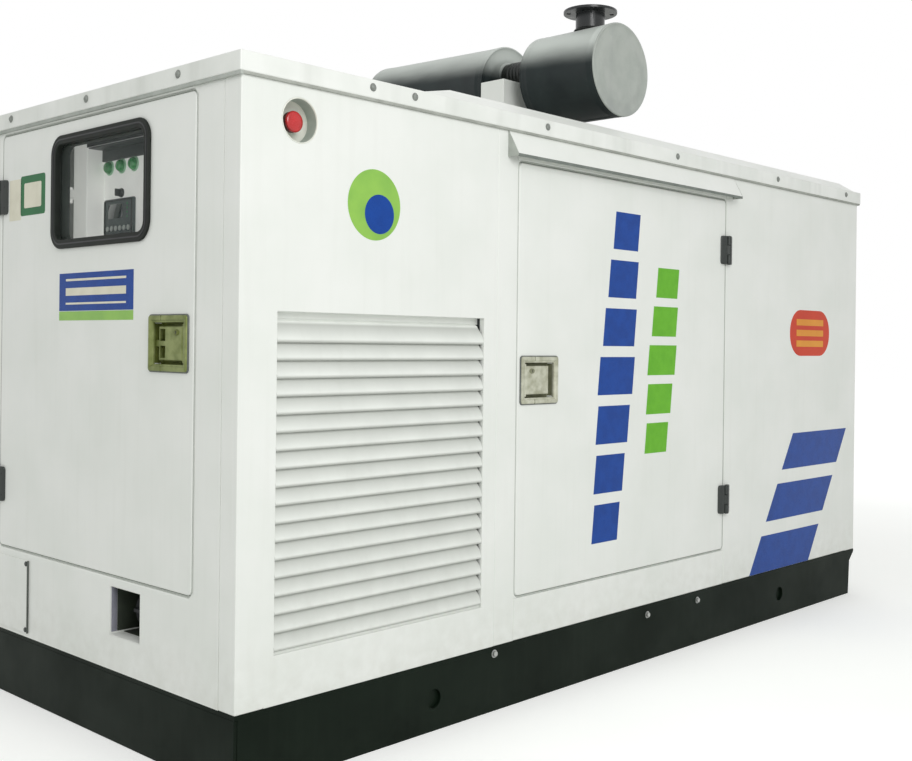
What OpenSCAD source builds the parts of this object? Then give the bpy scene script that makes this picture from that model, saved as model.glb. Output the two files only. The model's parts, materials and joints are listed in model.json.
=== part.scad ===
// Enclosed diesel generator set: a sound-proof steel enclosure on a base
// frame, with hinged service doors, air louvres, and silencers on the roof.
// X runs along the enclosure, the main service side faces -Y and the control
// end faces -X. The origin is the centre of the footprint on the ground.

/* [Enclosure] */
// Length of the enclosure
body_l = 3700; // [3000:10:4500]
// Width of the enclosure
body_w = 1570; // [1300:10:1900]
// Height of the walls from the base up to the roof trim
wall_h = 1700; // [1410:10:2100]
// Thickness of the walls, sheet and lining together
wall_t = 50; // [46:1:60]
// Width of a corner post on the long sides
post_x = 95; // [80:1:120]
// Width of a corner post on the ends
post_y = 75; // [60:1:110]

/* [Base frame] */
// Height of the base frame, deck included
base_h = 212; // [170:1:260]
// Thickness of the deck plate
deck_t = 12; // [8:1:16]
// Width of the flanges of the side rails
rail_flange = 76; // [60:1:100]
// Thickness of the webs of the side rails
rail_web = 10; // [6:1:14]
// Thickness of the flanges of the side rails
rail_flange_t = 12; // [8:1:16]
// Set-back of the foot of the sloping end
end_slope = 55; // [20:1:80]
// Diameter of the lifting holes
lift_d = 60; // [40:1:80]
// Distance of the lifting holes from the middle
lift_x = 1100; // [900:10:1250]

/* [Roof] */
// Height of the roof trim
trim_h = 55; // [45:1:80]
// Overhang of the roof trim past the walls
trim_over = 12; // [9:1:30]
// Thickness of the roof, sheet and lining together
roof_t = 40; // [20:1:44]
// Thickness of the trim sheet
trim_t = 7; // [3:1:8]
// Rise of the raised part of the roof
crown_h = 45; // [10:1:60]
// Width of the sloping border of the raised part
crown_slope = 60; // [20:1:120]
// Start of the raised part, from the control end
crown_start = 665; // [300:5:1400]
// Length of the slope at that end of the raised part
crown_ramp = 190; // [60:5:240]
// Drop of the drip gutters over the side doors
gutter_drop = 92; // [50:1:95]
// Reach of the drip gutters out from the wall
gutter_out = 46; // [30:1:70]
// Thickness of the gutter sheet
gutter_t = 3; // [1.5:0.5:5]

/* [Service door] */
// Distance of the door from the control end
door_x = 1131; // [1100:1:1250]
// Width of the door leaf
door_w = 1325; // [900:5:1400]
// Distance of the door above the base
door_z = 147; // [100:1:160]
// Distance of the door below the roof trim
door_top = 102; // [95:1:250]
// Thickness of the door leaves
leaf_t = 45; // [36:1:46]
// Corner radius of the door leaves
leaf_r = 18; // [6:1:40]
// Gap around the door leaves
door_gap = 6; // [5:0.5:8]
// Panel joint beside the louvre, from the control end
joint_x = 1026; // [1000:1:1060]

/* [Control end door] */
// Distance of the end door from both sides of the enclosure
end_door_side = 207; // [150:1:220]
// Distance of the end door above the base
end_door_z = 284; // [270:1:298]
// Distance of the end door below the roof trim
end_door_top = 21; // [16:1:100]
// Distance of the window from the service side
window_y = 431; // [400:1:480]
// Width of the window, rubber included
window_w = 581; // [400:1:620]
// Distance of the window below the roof trim
window_top = 62; // [55:1:200]
// Height of the window, rubber included
window_h = 362; // [250:1:370]
// Corner radius of the window
window_r = 62; // [30:1:90]
// Width of the window rubber
rubber_w = 29; // [15:1:40]
// Thickness of the glass
glass_t = 6; // [4:1:10]

/* [Hinges and latches] */
// Length of a hinge
hinge_h = 117; // [80:1:160]
// Width of one hinge leaf
hinge_w = 44; // [26:1:50]
// Distance of the hinge pin from the wall
hinge_out = 14; // [13:0.5:20]
// Diameter of the hinge pin
pin_d = 10; // [8:1:12]
// Width of a latch plate
latch_w = 202; // [190:1:230]
// Height of a latch plate
latch_h = 166; // [150:1:180]
// Height of the service door's latch above the base
front_latch_z = 868; // [600:1:1100]
// Height of the end door's latch above the base
end_latch_z = 980; // [600:1:1100]
// Depth of a latch pan
latch_depth = 30; // [24:1:34]
// Width of a latch paddle
paddle_w = 120; // [100:1:126]
// Height of a latch paddle
paddle_h = 96; // [80:1:104]

/* [Louvres] */
// Distance of a louvre from the end of the enclosure
louvre_x = 127; // [127:1:170]
// Width of the air opening
louvre_w = 838; // [600:1:840]
// Distance of the air opening above the base
louvre_z = 137; // [120:1:200]
// Height of the air opening
louvre_h = 934; // [700:1:950]
// Number of blades
blades = 18; // [10:1:18]
// Thickness of a blade
blade_t = 3; // [2:0.5:5]

/* [Stop button] */
// Distance of the stop button from the control end
stop_x = 198; // [190:1:230]
// Distance of the stop button below the roof trim
stop_drop = 102; // [90:1:300]
// Diameter of the stop button's cup
stop_cup_d = 127; // [110:1:140]
// Diameter of the stop button's head
stop_head_d = 60; // [40:1:70]
// Travel of the stop button
stop_travel = 4; // [2:0.5:6]

/* [Fuel inlet and cable entry] */
// Distance of the fuel inlet from the service side
fuel_y = 463; // [400:1:520]
// Width of the fuel inlet
fuel_w = 171; // [140:1:200]
// Distance of the fuel inlet above the base
fuel_z = 102; // [60:1:105]
// Height of the fuel inlet
fuel_h = 150; // [120:1:155]
// Depth of the fuel inlet
fuel_depth = 110; // [80:1:120]
// Diameter of the fuel cap
cap_d = 92; // [70:1:110]
// Distance of the cable cover from the back
cover_side = 102; // [90:1:160]
// Width of the cable cover
cover_w = 320; // [250:1:330]
// Height of the cable cover
cover_h = 240; // [180:1:250]

/* [Silencers] */
// Diameter of the silencer drums
drum_d = 358; // [280:1:380]
// Height of the drum axis above the roof trim's lower edge
drum_z = 350; // [330:1:420]
// Distance of the first drum from the service side
drum_y = 105; // [60:1:130]
// Length of the first drum
drum_l = 365; // [300:1:400]
// Length of the pipe between the drums
neck_l = 204; // [190:1:290]
// Diameter of the pipe between the drums
neck_d = 112; // [90:1:130]
// Distance of the second drum from the back
drum2_side = 196; // [40:1:260]
// Rise of the second silencer towards the back, in degrees
drum2_tilt = 1.5; // [0:0.5:3]
// Outer diameter of the outlet pipe
outlet_d = 114; // [80:1:130]
// Wall of the exhaust pipes
outlet_wall = 5; // [3:0.5:8]
// Diameter of the outlet flange
flange_d = 210; // [190:1:230]
// Thickness of the outlet flange
flange_t = 10; // [8:1:16]
// Bolt circle of the outlet flange
flange_pcd = 170; // [156:1:180]
// Diameter of the bolt holes in the outlet flange
flange_hole_d = 18; // [12:1:20]
// Number of bolt holes in the outlet flange
flange_holes = 4; // [4:2:8]

/* [Hidden] */
$fn = 96;

// Overall levels and planes
x0 = -body_l / 2;
y0 = -body_w / 2;
rail_h = base_h - deck_t;
trim_z = base_h + wall_h;
wall_top = trim_z + trim_h - roof_t;
roof_top = trim_z + trim_h;

// Drip gutters
gutter_start = 45;
gutter_past = 50;
trim_gap = 2;

// Cross members of the base
cross_x = [-640, 0, 640, 1280];
cross_w = 60;

// Service door: leaf, doorway and hinge pin
door_x0 = x0 + door_x;
door_x1 = door_x0 + door_w;
way_x0 = door_x0 - door_gap;
way_x1 = door_x1 + door_gap;
door_z0 = base_h + door_z;
door_z1 = trim_z - door_top;
front_pin = [door_x1 + door_gap / 2, y0 - hinge_out];

// End door: leaf, doorway and hinge pin
end_y0 = y0 + end_door_side;
end_y1 = -end_y0;
end_z0 = base_h + end_door_z;
end_z1 = trim_z - end_door_top;
window_z0 = trim_z - window_top - window_h;
end_pin = [x0 - hinge_out, end_y1 + door_gap / 2];

// Hinges
knuckle_r = 11;
pin_clear = 0.3;
knuckle_gap = 1;
knuckle_h = (hinge_h - 2 * knuckle_gap) / 3;
hinge_plate_t = 6;
hinge_inset = 208;
front_hinges = [door_z0 + hinge_inset, door_z1 - hinge_inset];
end_hinges = [end_z0 + hinge_inset, end_z1 - hinge_inset];

// Latches: pan, lip and paddle
latch_proud = 9;
pan_wall = 3;
pan_clear = 0.5;
paddle_t = 6;
paddle_pin_r = 4;
paddle_side = 8;
paddle_play = 8;
finger_gap = 20;
latch_pan_w = paddle_side + paddle_w + finger_gap + 2 * pan_wall;
latch_pan_h = paddle_h + 2 * paddle_play + 2 * pan_wall;
paddle_pin_x = -latch_pan_w / 2 + pan_wall + paddle_side;
front_latch_pos = [door_x0 + 11 + latch_w / 2, base_h + front_latch_z];
end_latch_pos = [end_y0 + 21 + latch_w / 2, base_h + end_latch_z];

// Louvre blades
louvre_top_gap = 75;
louvre_foot = 17;
blade_pitch = (louvre_h - louvre_top_gap - louvre_foot) / (blades - 1);
blade_run = wall_t + 10;
blade_rise = blade_run * 1.22;
stile_t = 8;
stile_w = 40;
discharge_w = louvre_w + 260;

// Raised part of the roof
crown_border = 3;

// Silencers
axis_z = trim_z + drum_z;
drum_y0 = y0 + drum_y;
drum_y1 = drum_y0 + drum_l;
drum2_y0 = drum_y1 + neck_l;
drum2_y1 = -y0 - drum2_side;
drum2_l = drum2_y1 - drum2_y0;
drum_wall = 4;
outlet_y = (drum_y0 + drum_y1) / 2 - 30;
outlet_rise = 72;
outlet_top = axis_z + drum_d / 2 + outlet_rise;
riser_y = drum2_y1 - 103;
riser_d = 114;
riser_clear = 10;
saddle_w = drum_d + 12;
saddle_d = 123;
saddle_y = drum2_y0 - saddle_d - 6;
saddle_top = axis_z;
neck_seat = 3;
neck_z = saddle_top + neck_d / 2 - neck_seat;
cradle_w = 120;

// Stop button
stop_pos = [x0 + stop_x, y0, trim_z - stop_drop];
cup_wall = 3;
cup_depth = 68;
stop_front = 20;
head_t = 26;
stop_shaft_d = 22;
collar_d = 38;
collar_clear = 1.5;

// Fuel inlet and cable entry
fuel_y0 = y0 + fuel_y;
fuel_z0 = base_h + fuel_z;
box_wall = 3;
fuel_neck_d = cap_d - 20;
fuel_neck_l = 120;
neck_clear = 1;
cap_out = 46;
cap_h = 24;
cover_y0 = -y0 - cover_side - cover_w;
cover_z0 = base_h + 14;
cover_t = 4;
cover_lap = 30;

// Control cabinet
cab_x0 = x0 + 110;
cab_d = 280;
cab_y0 = y0 + 420;
cab_y1 = y0 + 1085;
cab_z1 = trim_z - 50;
cab_z0 = cab_z1 - 710;
cab_frame = 88;
cab_recess = 66;
controller_z = trim_z - 374;
controller_w = 178;
controller_h = 124;
controller_t = 18;
lamp_z = trim_z - 144;
lamp_pitch = 76;
lamp_d = 32;
lamp_t = 22;

// Machine inside
radiator_x = -x0 - 330;
radiator_w = 1040;
radiator_h = 1300;
radiator_t = 160;
shroud_l = 90;
fan_r = 420;
crank_z = base_h + 520;
engine_x0 = -560;
engine_x1 = 620;
engine_w = 500;
flywheel_r = 290;
alternator_l = 620;
alternator_r = 270;
foot_w = 100;
riser_z = crank_z + 600;

white = "#eef1ef";
black = "#23282a";
steel = "#8e918c";
zinc = "#9a9a78";
dark = "#3b3f42";

// A box between two corners
module block(lo, hi) {
    translate(lo) cube(hi - lo);
}

// An outline drawn along X and Z, as a plate from y down to y + t
module plate_y(y, t) {
    translate([0, y + t, 0]) rotate([90, 0, 0]) linear_extrude(t) children();
}

// An outline drawn along Y and Z, as a plate from x up to x + t
module plate_x(x, t) {
    translate([x, 0, 0]) rotate([90, 0, 90]) linear_extrude(t) children();
}

// A straight pipe or rod along Y
module rod_y(y, l, r) {
    translate([0, y, 0]) rotate([-90, 0, 0]) cylinder(r = r, h = l);
}

// A rectangle with round corners, from its lower left corner
module round_rect(w, h, r) {
    translate([r, 0]) square([w - 2 * r, h]);
    translate([0, r]) square([w, h - 2 * r]);
    for (x = [r, w - r], y = [r, h - r]) translate([x, y]) circle(r);
}

// ---- base frame ----

module rail_profile() {
    difference() {
        square([rail_flange, rail_h]);
        translate([rail_web, rail_flange_t]) square([rail_flange, rail_h - 2 * rail_flange_t]);
    }
}

module side_rail() {
    end = -x0;
    difference() {
        translate([x0 + rail_web, y0, 0]) rotate([90, 0, 90]) linear_extrude(body_l - rail_web) rail_profile();
        for (x = [-lift_x, lift_x])
            translate([x, y0 - 1, rail_h / 2]) rotate([-90, 0, 0]) cylinder(d = lift_d, h = rail_web + 2);
        plate_y(y0 - 1, rail_flange + 2)
            polygon([[end - end_slope, -1], [end + 1, -1], [end + 1, rail_h], [end, rail_h],
                [end - end_slope * 0.8, rail_h - 40]]);
    }
}

module base_rails() {
    color(black) {
        side_rail();
        mirror([0, 1, 0]) side_rail();
    }
}

module base_cross_members() {
    inner = y0 + rail_flange;
    color(black) {
        block([x0, y0, 0], [x0 + rail_web, -y0, rail_h]);
        block([-x0 - end_slope - rail_web, inner, 0], [-x0 - end_slope, -inner, rail_h]);
        for (x = cross_x) block([x - cross_w / 2, inner, 0], [x + cross_w / 2, -inner, rail_h]);
    }
}

module deck_plate() {
    color(black) block([x0, y0, rail_h], [-x0, -y0, base_h]);
}

module fuel_tank() {
    inner = y0 + rail_flange + 20;
    color(dark) block([x0 + 60, inner, 20], [cross_x[0] - cross_w / 2 - 20, -inner, rail_h]);
}

// ---- walls ----

module corner_posts() {
    color(white) for (sx = [0, 1], sy = [0, 1]) mirror([sx, 0, 0]) mirror([0, sy, 0])
        difference() {
            block([x0, y0, base_h], [x0 + post_x, y0 + post_y, wall_top]);
            block([x0 + wall_t, y0 + wall_t, base_h - 1], [x0 + post_x + 1, y0 + post_y + 1, wall_top + 1]);
        }
}

module louvre_panel(with_stop) {
    difference() {
        block([x0 + post_x, y0, base_h], [x0 + joint_x, y0 + wall_t, wall_top]);
        block([x0 + louvre_x, y0 - 1, base_h + louvre_z],
            [x0 + louvre_x + louvre_w, y0 + wall_t + 1, base_h + louvre_z + louvre_h]);
        if (with_stop)
            translate(stop_pos - [0, 1, 0]) rotate([-90, 0, 0]) cylinder(d = stop_cup_d, h = wall_t + 2);
    }
}

module front_louvre_wall() {
    color(white) louvre_panel(true);
}

module front_jamb() {
    color(white) block([x0 + joint_x, y0, base_h], [way_x0, y0 + wall_t, wall_top]);
}

module front_sill() {
    color(white) block([way_x0, y0, base_h], [way_x1, y0 + wall_t, door_z0 - door_gap]);
}

module front_header() {
    color(white) block([way_x0, y0, door_z1 + door_gap], [way_x1, y0 + wall_t, wall_top]);
}

module front_wall() {
    color(white) block([way_x1, y0, base_h], [-x0 - post_x, y0 + wall_t, wall_top]);
}

// Blades that slope down and out, on two stiles behind the wall
module louvre(w) {
    slope = atan(blade_rise / blade_run);
    blade_l = norm([blade_run, blade_rise]);
    for (i = [0 : blades - 1])
        translate([0, 0, louvre_foot + i * blade_pitch]) intersection() {
            rotate([slope, 0, 0]) translate([0, -blade_t, -blade_t]) cube([w, blade_l + blade_t, blade_t]);
            cube([w, blade_run, louvre_h]);
        }
    for (x = [-stile_w / 2, w - stile_w / 2])
        translate([x, wall_t, 0]) cube([stile_w, stile_t, louvre_h]);
}

module side_louvre() {
    translate([x0 + louvre_x, y0, base_h + louvre_z]) louvre(louvre_w);
}

module front_louvre() {
    color(white) side_louvre();
}

// A drip gutter over the door: a sloping sheet with a lip and closed ends
module gutter() {
    t = gutter_t;
    lip = 10;
    start = x0 + joint_x + gutter_start;
    l = way_x1 + gutter_past - start;
    translate([start, y0, trim_z - trim_gap]) rotate([90, 0, 90]) difference() {
        linear_extrude(l) polygon([[0, 0], [-gutter_out, lip - gutter_drop], [-gutter_out, -gutter_drop],
            [0, -gutter_drop]]);
        translate([0, 0, t]) linear_extrude(l - 2 * t)
            polygon([[1, -2 * t], [0, -2 * t], [t - gutter_out, lip - gutter_drop - t],
                [t - gutter_out, -gutter_drop - 1], [1, -gutter_drop - 1]]);
    }
}

module front_gutter() {
    color(white) gutter();
}

module back_louvre_wall() {
    color(white) mirror([0, 1, 0]) louvre_panel(false);
}

module back_wall() {
    color(white) mirror([0, 1, 0]) difference() {
        block([x0 + joint_x, y0, base_h], [-x0 - post_x, y0 + wall_t, wall_top]);
        block([way_x0, y0 - 1, door_z0 - door_gap], [way_x1, y0 + wall_t + 1, door_z1 + door_gap]);
    }
}

module back_door() {
    color(white) mirror([0, 1, 0]) {
        side_leaf();
        block([way_x0, y0 + leaf_t, door_z0 - door_gap], [way_x1, y0 + wall_t, door_z1 + door_gap]);
    }
}

module back_louvre() {
    color(white) mirror([0, 1, 0]) side_louvre();
}

module back_gutter() {
    color(white) mirror([0, 1, 0]) gutter();
}

// ---- control end ----

module end_sill() {
    color(white) difference() {
        block([x0, y0 + post_y, base_h], [x0 + wall_t, -y0 - post_y, end_z0 - door_gap]);
        block([x0 - 1, fuel_y0, fuel_z0], [x0 + wall_t + 1, fuel_y0 + fuel_w, fuel_z0 + fuel_h]);
        block([x0 - 1, cover_y0 + cover_lap, cover_z0 + cover_lap],
            [x0 + wall_t + 1, cover_y0 + cover_w - cover_lap, cover_z0 + cover_h - cover_lap]);
    }
}

module end_walls() {
    color(white) {
        block([x0, y0 + post_y, end_z0 - door_gap], [x0 + wall_t, end_y0 - door_gap, wall_top]);
        block([x0, end_y1 + door_gap, end_z0 - door_gap], [x0 + wall_t, -y0 - post_y, wall_top]);
    }
}

module end_header() {
    color(white) block([x0, end_y0 - door_gap, end_z1 + door_gap], [x0 + wall_t, end_y1 + door_gap, wall_top]);
}

module radiator_end_wall() {
    side = (body_w - discharge_w) / 2;
    color(white) difference() {
        block([-x0 - wall_t, y0 + post_y, base_h], [-x0, -y0 - post_y, wall_top]);
        block([-x0 - wall_t - 1, y0 + side, base_h + louvre_z],
            [-x0 + 1, -y0 - side, base_h + louvre_z + louvre_h]);
    }
}

module discharge_louvre() {
    color(white) translate([-x0, -discharge_w / 2, base_h + louvre_z]) rotate([0, 0, 90]) louvre(discharge_w);
}

// ---- roof ----

module roof() {
    o = trim_over;
    i = trim_over - trim_t;
    color(white) difference() {
        block([x0 - o, y0 - o, trim_z], [-x0 + o, -y0 + o, roof_top]);
        block([x0 - i, y0 - i, trim_z - 1], [-x0 + i, -y0 + i, wall_top]);
        translate([0, riser_y, wall_top - 1]) cylinder(d = riser_d + 2 * riser_clear, h = roof_t + 2);
    }
}

// Outline of the raised part, with its sloping borders
module crown_outline(l, ramp) {
    polygon([[0, 0], [l, 0], [l - crown_slope, crown_h], [ramp, crown_h]]);
}

// The raised part: its sloping border starts beside the trim
module roof_crown() {
    l = body_l - crown_start - crown_border;
    w = body_w - 2 * crown_border;
    lo = [x0 + crown_start, y0 + crown_border];
    color(white) difference() {
        intersection() {
            plate_y(lo.y, w) translate([lo.x, roof_top]) crown_outline(l, crown_ramp);
            plate_x(lo.x, l) translate([lo.y, roof_top]) crown_outline(w, crown_slope);
        }
        translate([0, riser_y, roof_top - 1]) cylinder(d = riser_d + 2 * riser_clear, h = crown_h + 2);
    }
}

// ---- doors ----

module side_leaf() {
    plate_y(y0, leaf_t) translate([door_x0, door_z0]) round_rect(door_w, door_z1 - door_z0, leaf_r);
}

module front_door() {
    color(white) difference() {
        side_leaf();
        translate([front_latch_pos.x, y0, front_latch_pos.y]) latch_hole();
    }
}

module latch_hole() {
    w = latch_pan_w + 2 * pan_clear;
    h = latch_pan_h + 2 * pan_clear;
    translate([-w / 2, -1, -h / 2]) cube([w, latch_depth + 1 + pan_clear, h]);
}

// The flat part of a hinge leaf, with round corners
module hinge_plate() {
    plate_y(hinge_out - hinge_plate_t, hinge_plate_t) translate([-hinge_w, -hinge_h / 2])
        round_rect(hinge_w - knuckle_r - 2, hinge_h, 6);
}

// One leaf of a hinge that runs along Z, its pin at the origin and the wall
// towards +Y. The moving leaf reaches towards -X, the fixed one towards +X.
module moving_leaf() {
    face = hinge_out;
    difference() {
        union() {
            hinge_plate();
            block([-knuckle_r - 2, face - hinge_plate_t, -knuckle_h / 2], [-4, face - 1, knuckle_h / 2]);
            translate([0, 0, -knuckle_h / 2]) cylinder(r = knuckle_r, h = knuckle_h);
        }
        translate([0, 0, -hinge_h]) cylinder(d = pin_d + 2 * pin_clear, h = 2 * hinge_h);
    }
}

module fixed_leaf() {
    face = hinge_out;
    outer = knuckle_h / 2 + knuckle_gap;
    mirror([1, 0, 0]) hinge_plate();
    for (s = [0, 1]) mirror([0, 0, s]) {
        block([4, face - hinge_plate_t, outer], [knuckle_r + 2, face - 1, hinge_h / 2]);
        translate([0, 0, outer]) cylinder(r = knuckle_r, h = knuckle_h);
    }
    translate([0, 0, -hinge_h / 2]) cylinder(d = pin_d, h = hinge_h);
}

module front_hinge_leaves() {
    color(dark) for (z = front_hinges) translate([front_pin.x, front_pin.y, z]) moving_leaf();
}

module front_hinge_pins() {
    color(dark) for (z = front_hinges) translate([front_pin.x, front_pin.y, z]) fixed_leaf();
}

// A latch: a lip on the door face and a pan behind it. The origin is its
// middle on the door face, and +Y goes into the door.
module latch() {
    w = latch_pan_w;
    h = latch_pan_h;
    difference() {
        union() {
            translate([-latch_w / 2, -latch_proud, -latch_h / 2]) cube([latch_w, latch_proud, latch_h]);
            translate([-w / 2, -1, -h / 2]) cube([w, latch_depth + 1, h]);
        }
        translate([-w / 2 + pan_wall, -latch_proud - 1, -h / 2 + pan_wall])
            cube([w - 2 * pan_wall, latch_depth + latch_proud + 1 - pan_wall, h - 2 * pan_wall]);
        translate([paddle_pin_x, paddle_t, -h / 2 + 1])
            cylinder(r = paddle_pin_r + pin_clear, h = h - 2);
    }
}

module paddle() {
    h = latch_pan_h;
    translate([paddle_pin_x, 0, -paddle_h / 2]) cube([paddle_w, paddle_t, paddle_h]);
    translate([paddle_pin_x, paddle_t, -h / 2 + 1.5]) cylinder(r = paddle_pin_r, h = h - 3);
}

module front_latch() {
    color(zinc) translate([front_latch_pos.x, y0, front_latch_pos.y]) latch();
}

module front_paddle() {
    color(zinc) translate([front_latch_pos.x, y0, front_latch_pos.y]) paddle();
}

// Turns a piece made for the front so that it faces the control end, with
// the left of the front towards the service side
module on_end(y, z) {
    translate([x0, y, z]) rotate([0, 0, -90]) mirror([1, 0, 0]) children();
}

module end_door() {
    color(white) difference() {
        plate_x(x0, leaf_t) translate([end_y0, end_z0]) round_rect(end_y1 - end_y0, end_z1 - end_z0, leaf_r);
        plate_x(x0 - 1, leaf_t + 2) window_outline(rubber_w / 2);
        on_end(end_latch_pos.x, end_latch_pos.y) latch_hole();
    }
}

module window_outline(inset) {
    translate([y0 + window_y + inset, window_z0 + inset])
        round_rect(window_w - 2 * inset, window_h - 2 * inset, window_r - inset);
}

module window_rubber() {
    color(black) difference() {
        union() {
            plate_x(x0 - 9, 9) window_outline(0);
            plate_x(x0, leaf_t) window_outline(rubber_w / 2);
        }
        plate_x(x0 - 10, leaf_t + 11) window_outline(rubber_w);
        plate_x(x0 + 10, glass_t) window_outline(rubber_w - 8);
    }
}

module window_glass() {
    color("#9fb4ad", 0.4) plate_x(x0 + 10, glass_t) window_outline(rubber_w - 8);
}

module end_hinge_leaves() {
    color(dark) for (z = end_hinges) translate([end_pin.x, end_pin.y, z]) rotate([0, 0, -90]) mirror([1, 0, 0])
        moving_leaf();
}

module end_hinge_pins() {
    color(dark) for (z = end_hinges) translate([end_pin.x, end_pin.y, z]) rotate([0, 0, -90]) mirror([1, 0, 0])
        fixed_leaf();
}

module end_latch() {
    color(zinc) on_end(end_latch_pos.x, end_latch_pos.y) latch();
}

module end_paddle() {
    color(zinc) on_end(end_latch_pos.x, end_latch_pos.y) paddle();
}

// ---- fittings ----

// A cup with a collar that the button's head stops short of
module stop_cup() {
    collar_front = stop_front + head_t + stop_travel + collar_clear;
    color("#c9cec9") translate(stop_pos) rotate([-90, 0, 0]) difference() {
        union() {
            difference() {
                cylinder(d = stop_cup_d, h = cup_depth);
                translate([0, 0, -1]) cylinder(d = stop_cup_d - 2 * cup_wall, h = cup_depth + 1 - cup_wall);
            }
            translate([0, 0, collar_front]) cylinder(d = collar_d, h = cup_depth - collar_front);
        }
        cylinder(d = stop_shaft_d + 2 * pin_clear, h = cup_depth + 1);
    }
}

module stop_button() {
    color("#c01818") translate(stop_pos + [0, stop_front, 0]) rotate([-90, 0, 0]) {
        cylinder(d = stop_head_d, h = head_t);
        cylinder(d = stop_shaft_d, h = cup_depth + 30 - stop_front);
    }
}

module fuel_inlet_box() {
    w = fuel_w;
    color(white) translate([x0, fuel_y0, fuel_z0]) difference() {
        cube([fuel_depth, w, fuel_h]);
        translate([-1, box_wall, box_wall])
            cube([fuel_depth + 1 - box_wall, w - 2 * box_wall, fuel_h - 2 * box_wall]);
        translate([fuel_depth - box_wall - 1, w / 2, fuel_h / 2]) rotate([0, 90, 0])
            cylinder(d = fuel_neck_d + 2 * neck_clear, h = box_wall + 2);
    }
}

module fuel_cap() {
    color(black) translate([x0, fuel_y0 + fuel_w / 2, fuel_z0 + fuel_h / 2]) rotate([0, 90, 0]) {
        translate([0, 0, fuel_depth - box_wall - cap_out]) {
            cylinder(d = cap_d, h = cap_h);
            cylinder(d = fuel_neck_d, h = fuel_neck_l);
            cylinder(d = cap_d - 6, h = cap_out);
        }
    }
}

module cable_cover() {
    color(white) block([x0 - cover_t, cover_y0, cover_z0], [x0, cover_y0 + cover_w, cover_z0 + cover_h]);
}

// ---- inside ----

module control_cabinet() {
    rim = 30;
    color(white) difference() {
        block([cab_x0, cab_y0, cab_z0], [cab_x0 + cab_d, cab_y1, cab_z1]);
        block([cab_x0 - 1, cab_y0 + rim, cab_z0 + 2 * rim],
            [cab_x0 + cab_recess, cab_y1 - cab_frame, cab_z1 - rim]);
    }
}

// The controller and three lamps on the back of the cabinet's recess
module control_fascia() {
    px = cab_x0 + cab_recess;
    y_left = cab_y1 - cab_frame;
    color("#5c6468") {
        block([px - controller_t, y_left - 20 - controller_w, controller_z],
            [px, y_left - 20, controller_z + controller_h]);
        for (i = [0 : 2]) translate([px - lamp_t, y_left - 36 - i * lamp_pitch, lamp_z]) rotate([0, 90, 0])
            cylinder(d = lamp_d, h = lamp_t);
    }
}

module cabinet_stand() {
    leg = 40;
    color(dark) for (y = [cab_y0 + leg, cab_y1 - 2 * leg])
        block([cab_x0 + 3 * leg, y, base_h], [cab_x0 + 4 * leg, y + leg, cab_z0]);
}

// Sump, crankcase, cylinder head, rocker cover and flywheel housing
module engine() {
    w = engine_w / 2;
    color("#4a5a50") {
        block([engine_x0 + 160, -w * 0.7, base_h + 70], [engine_x1 - 100, w * 0.7, crank_z - 150]);
        block([engine_x0 + 50, -w, crank_z - 180], [engine_x1, w, crank_z + 250]);
        block([engine_x0 + 70, -w * 0.76, crank_z + 240], [engine_x1 - 20, w * 0.76, crank_z + 390]);
        block([engine_x0 + 90, -w * 0.44, crank_z + 380], [engine_x1 - 40, w * 0.44, crank_z + 480]);
        translate([engine_x0, 0, crank_z]) rotate([0, 90, 0]) cylinder(r = flywheel_r, h = 80);
    }
}

module alternator() {
    color("#5a625e") {
        translate([engine_x0 - alternator_l, 0, crank_z]) rotate([0, 90, 0])
            cylinder(r = alternator_r, h = alternator_l);
        block([engine_x0 - alternator_l + 60, -180, crank_z + alternator_r - 60],
            [engine_x0 - alternator_l + 360, 180, crank_z + alternator_r + 150]);
    }
}

// Rubber mounts under the engine and the alternator
module machine_feet() {
    w = engine_w / 2;
    color(dark) {
        for (x = [engine_x0 + 100, engine_x1 - 160], y = [-w - foot_w, w])
            block([x, y, base_h], [x + foot_w, y + foot_w, crank_z - 100]);
        for (y = [-alternator_r * 0.8, alternator_r * 0.8 - foot_w]) difference() {
            block([engine_x0 - alternator_l + 80, y, base_h],
                [engine_x0 - 80, y + foot_w, crank_z - alternator_r * 0.65]);
            translate([engine_x0 - alternator_l, 0, crank_z]) rotate([0, 90, 0])
                cylinder(r = alternator_r, h = alternator_l);
        }
    }
}

module radiator() {
    color(dark) {
        block([radiator_x, -radiator_w / 2, base_h],
            [radiator_x + radiator_t, radiator_w / 2, base_h + radiator_h]);
        translate([radiator_x - shroud_l, 0, base_h + radiator_h / 2 + 30]) rotate([0, 90, 0])
            cylinder(r = fan_r, h = shroud_l + 1);
    }
}

module exhaust_riser() {
    r = riser_d / 2;
    color(steel) difference() {
        translate([0, riser_y, riser_z])
            cylinder(r = r, h = axis_z - drum_d / 2 + 8 + (riser_y - drum2_y0) * tan(drum2_tilt) - riser_z);
        translate([0, riser_y, riser_z - 1]) cylinder(r = r - outlet_wall, h = axis_z - riser_z);
    }
}

// ---- silencers ----

module silencer_drum() {
    color(steel) translate([0, 0, axis_z]) difference() {
        rod_y(drum_y0, drum_l, drum_d / 2);
        rod_y(drum_y0 + drum_wall, drum_l - 2 * drum_wall, drum_d / 2 - drum_wall);
        translate([0, 0, neck_z - axis_z]) rod_y(drum_y1 - drum_wall - 1, drum_wall + 2, neck_d / 2 - outlet_wall);
        translate([0, outlet_y, 0]) cylinder(d = outlet_d, h = drum_d);
    }
}

module second_drum_solid(wall) {
    translate([0, drum2_y0, axis_z]) rotate([drum2_tilt, 0, 0])
        rod_y(wall, drum2_l - 2 * wall, drum_d / 2 - wall);
}

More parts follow.
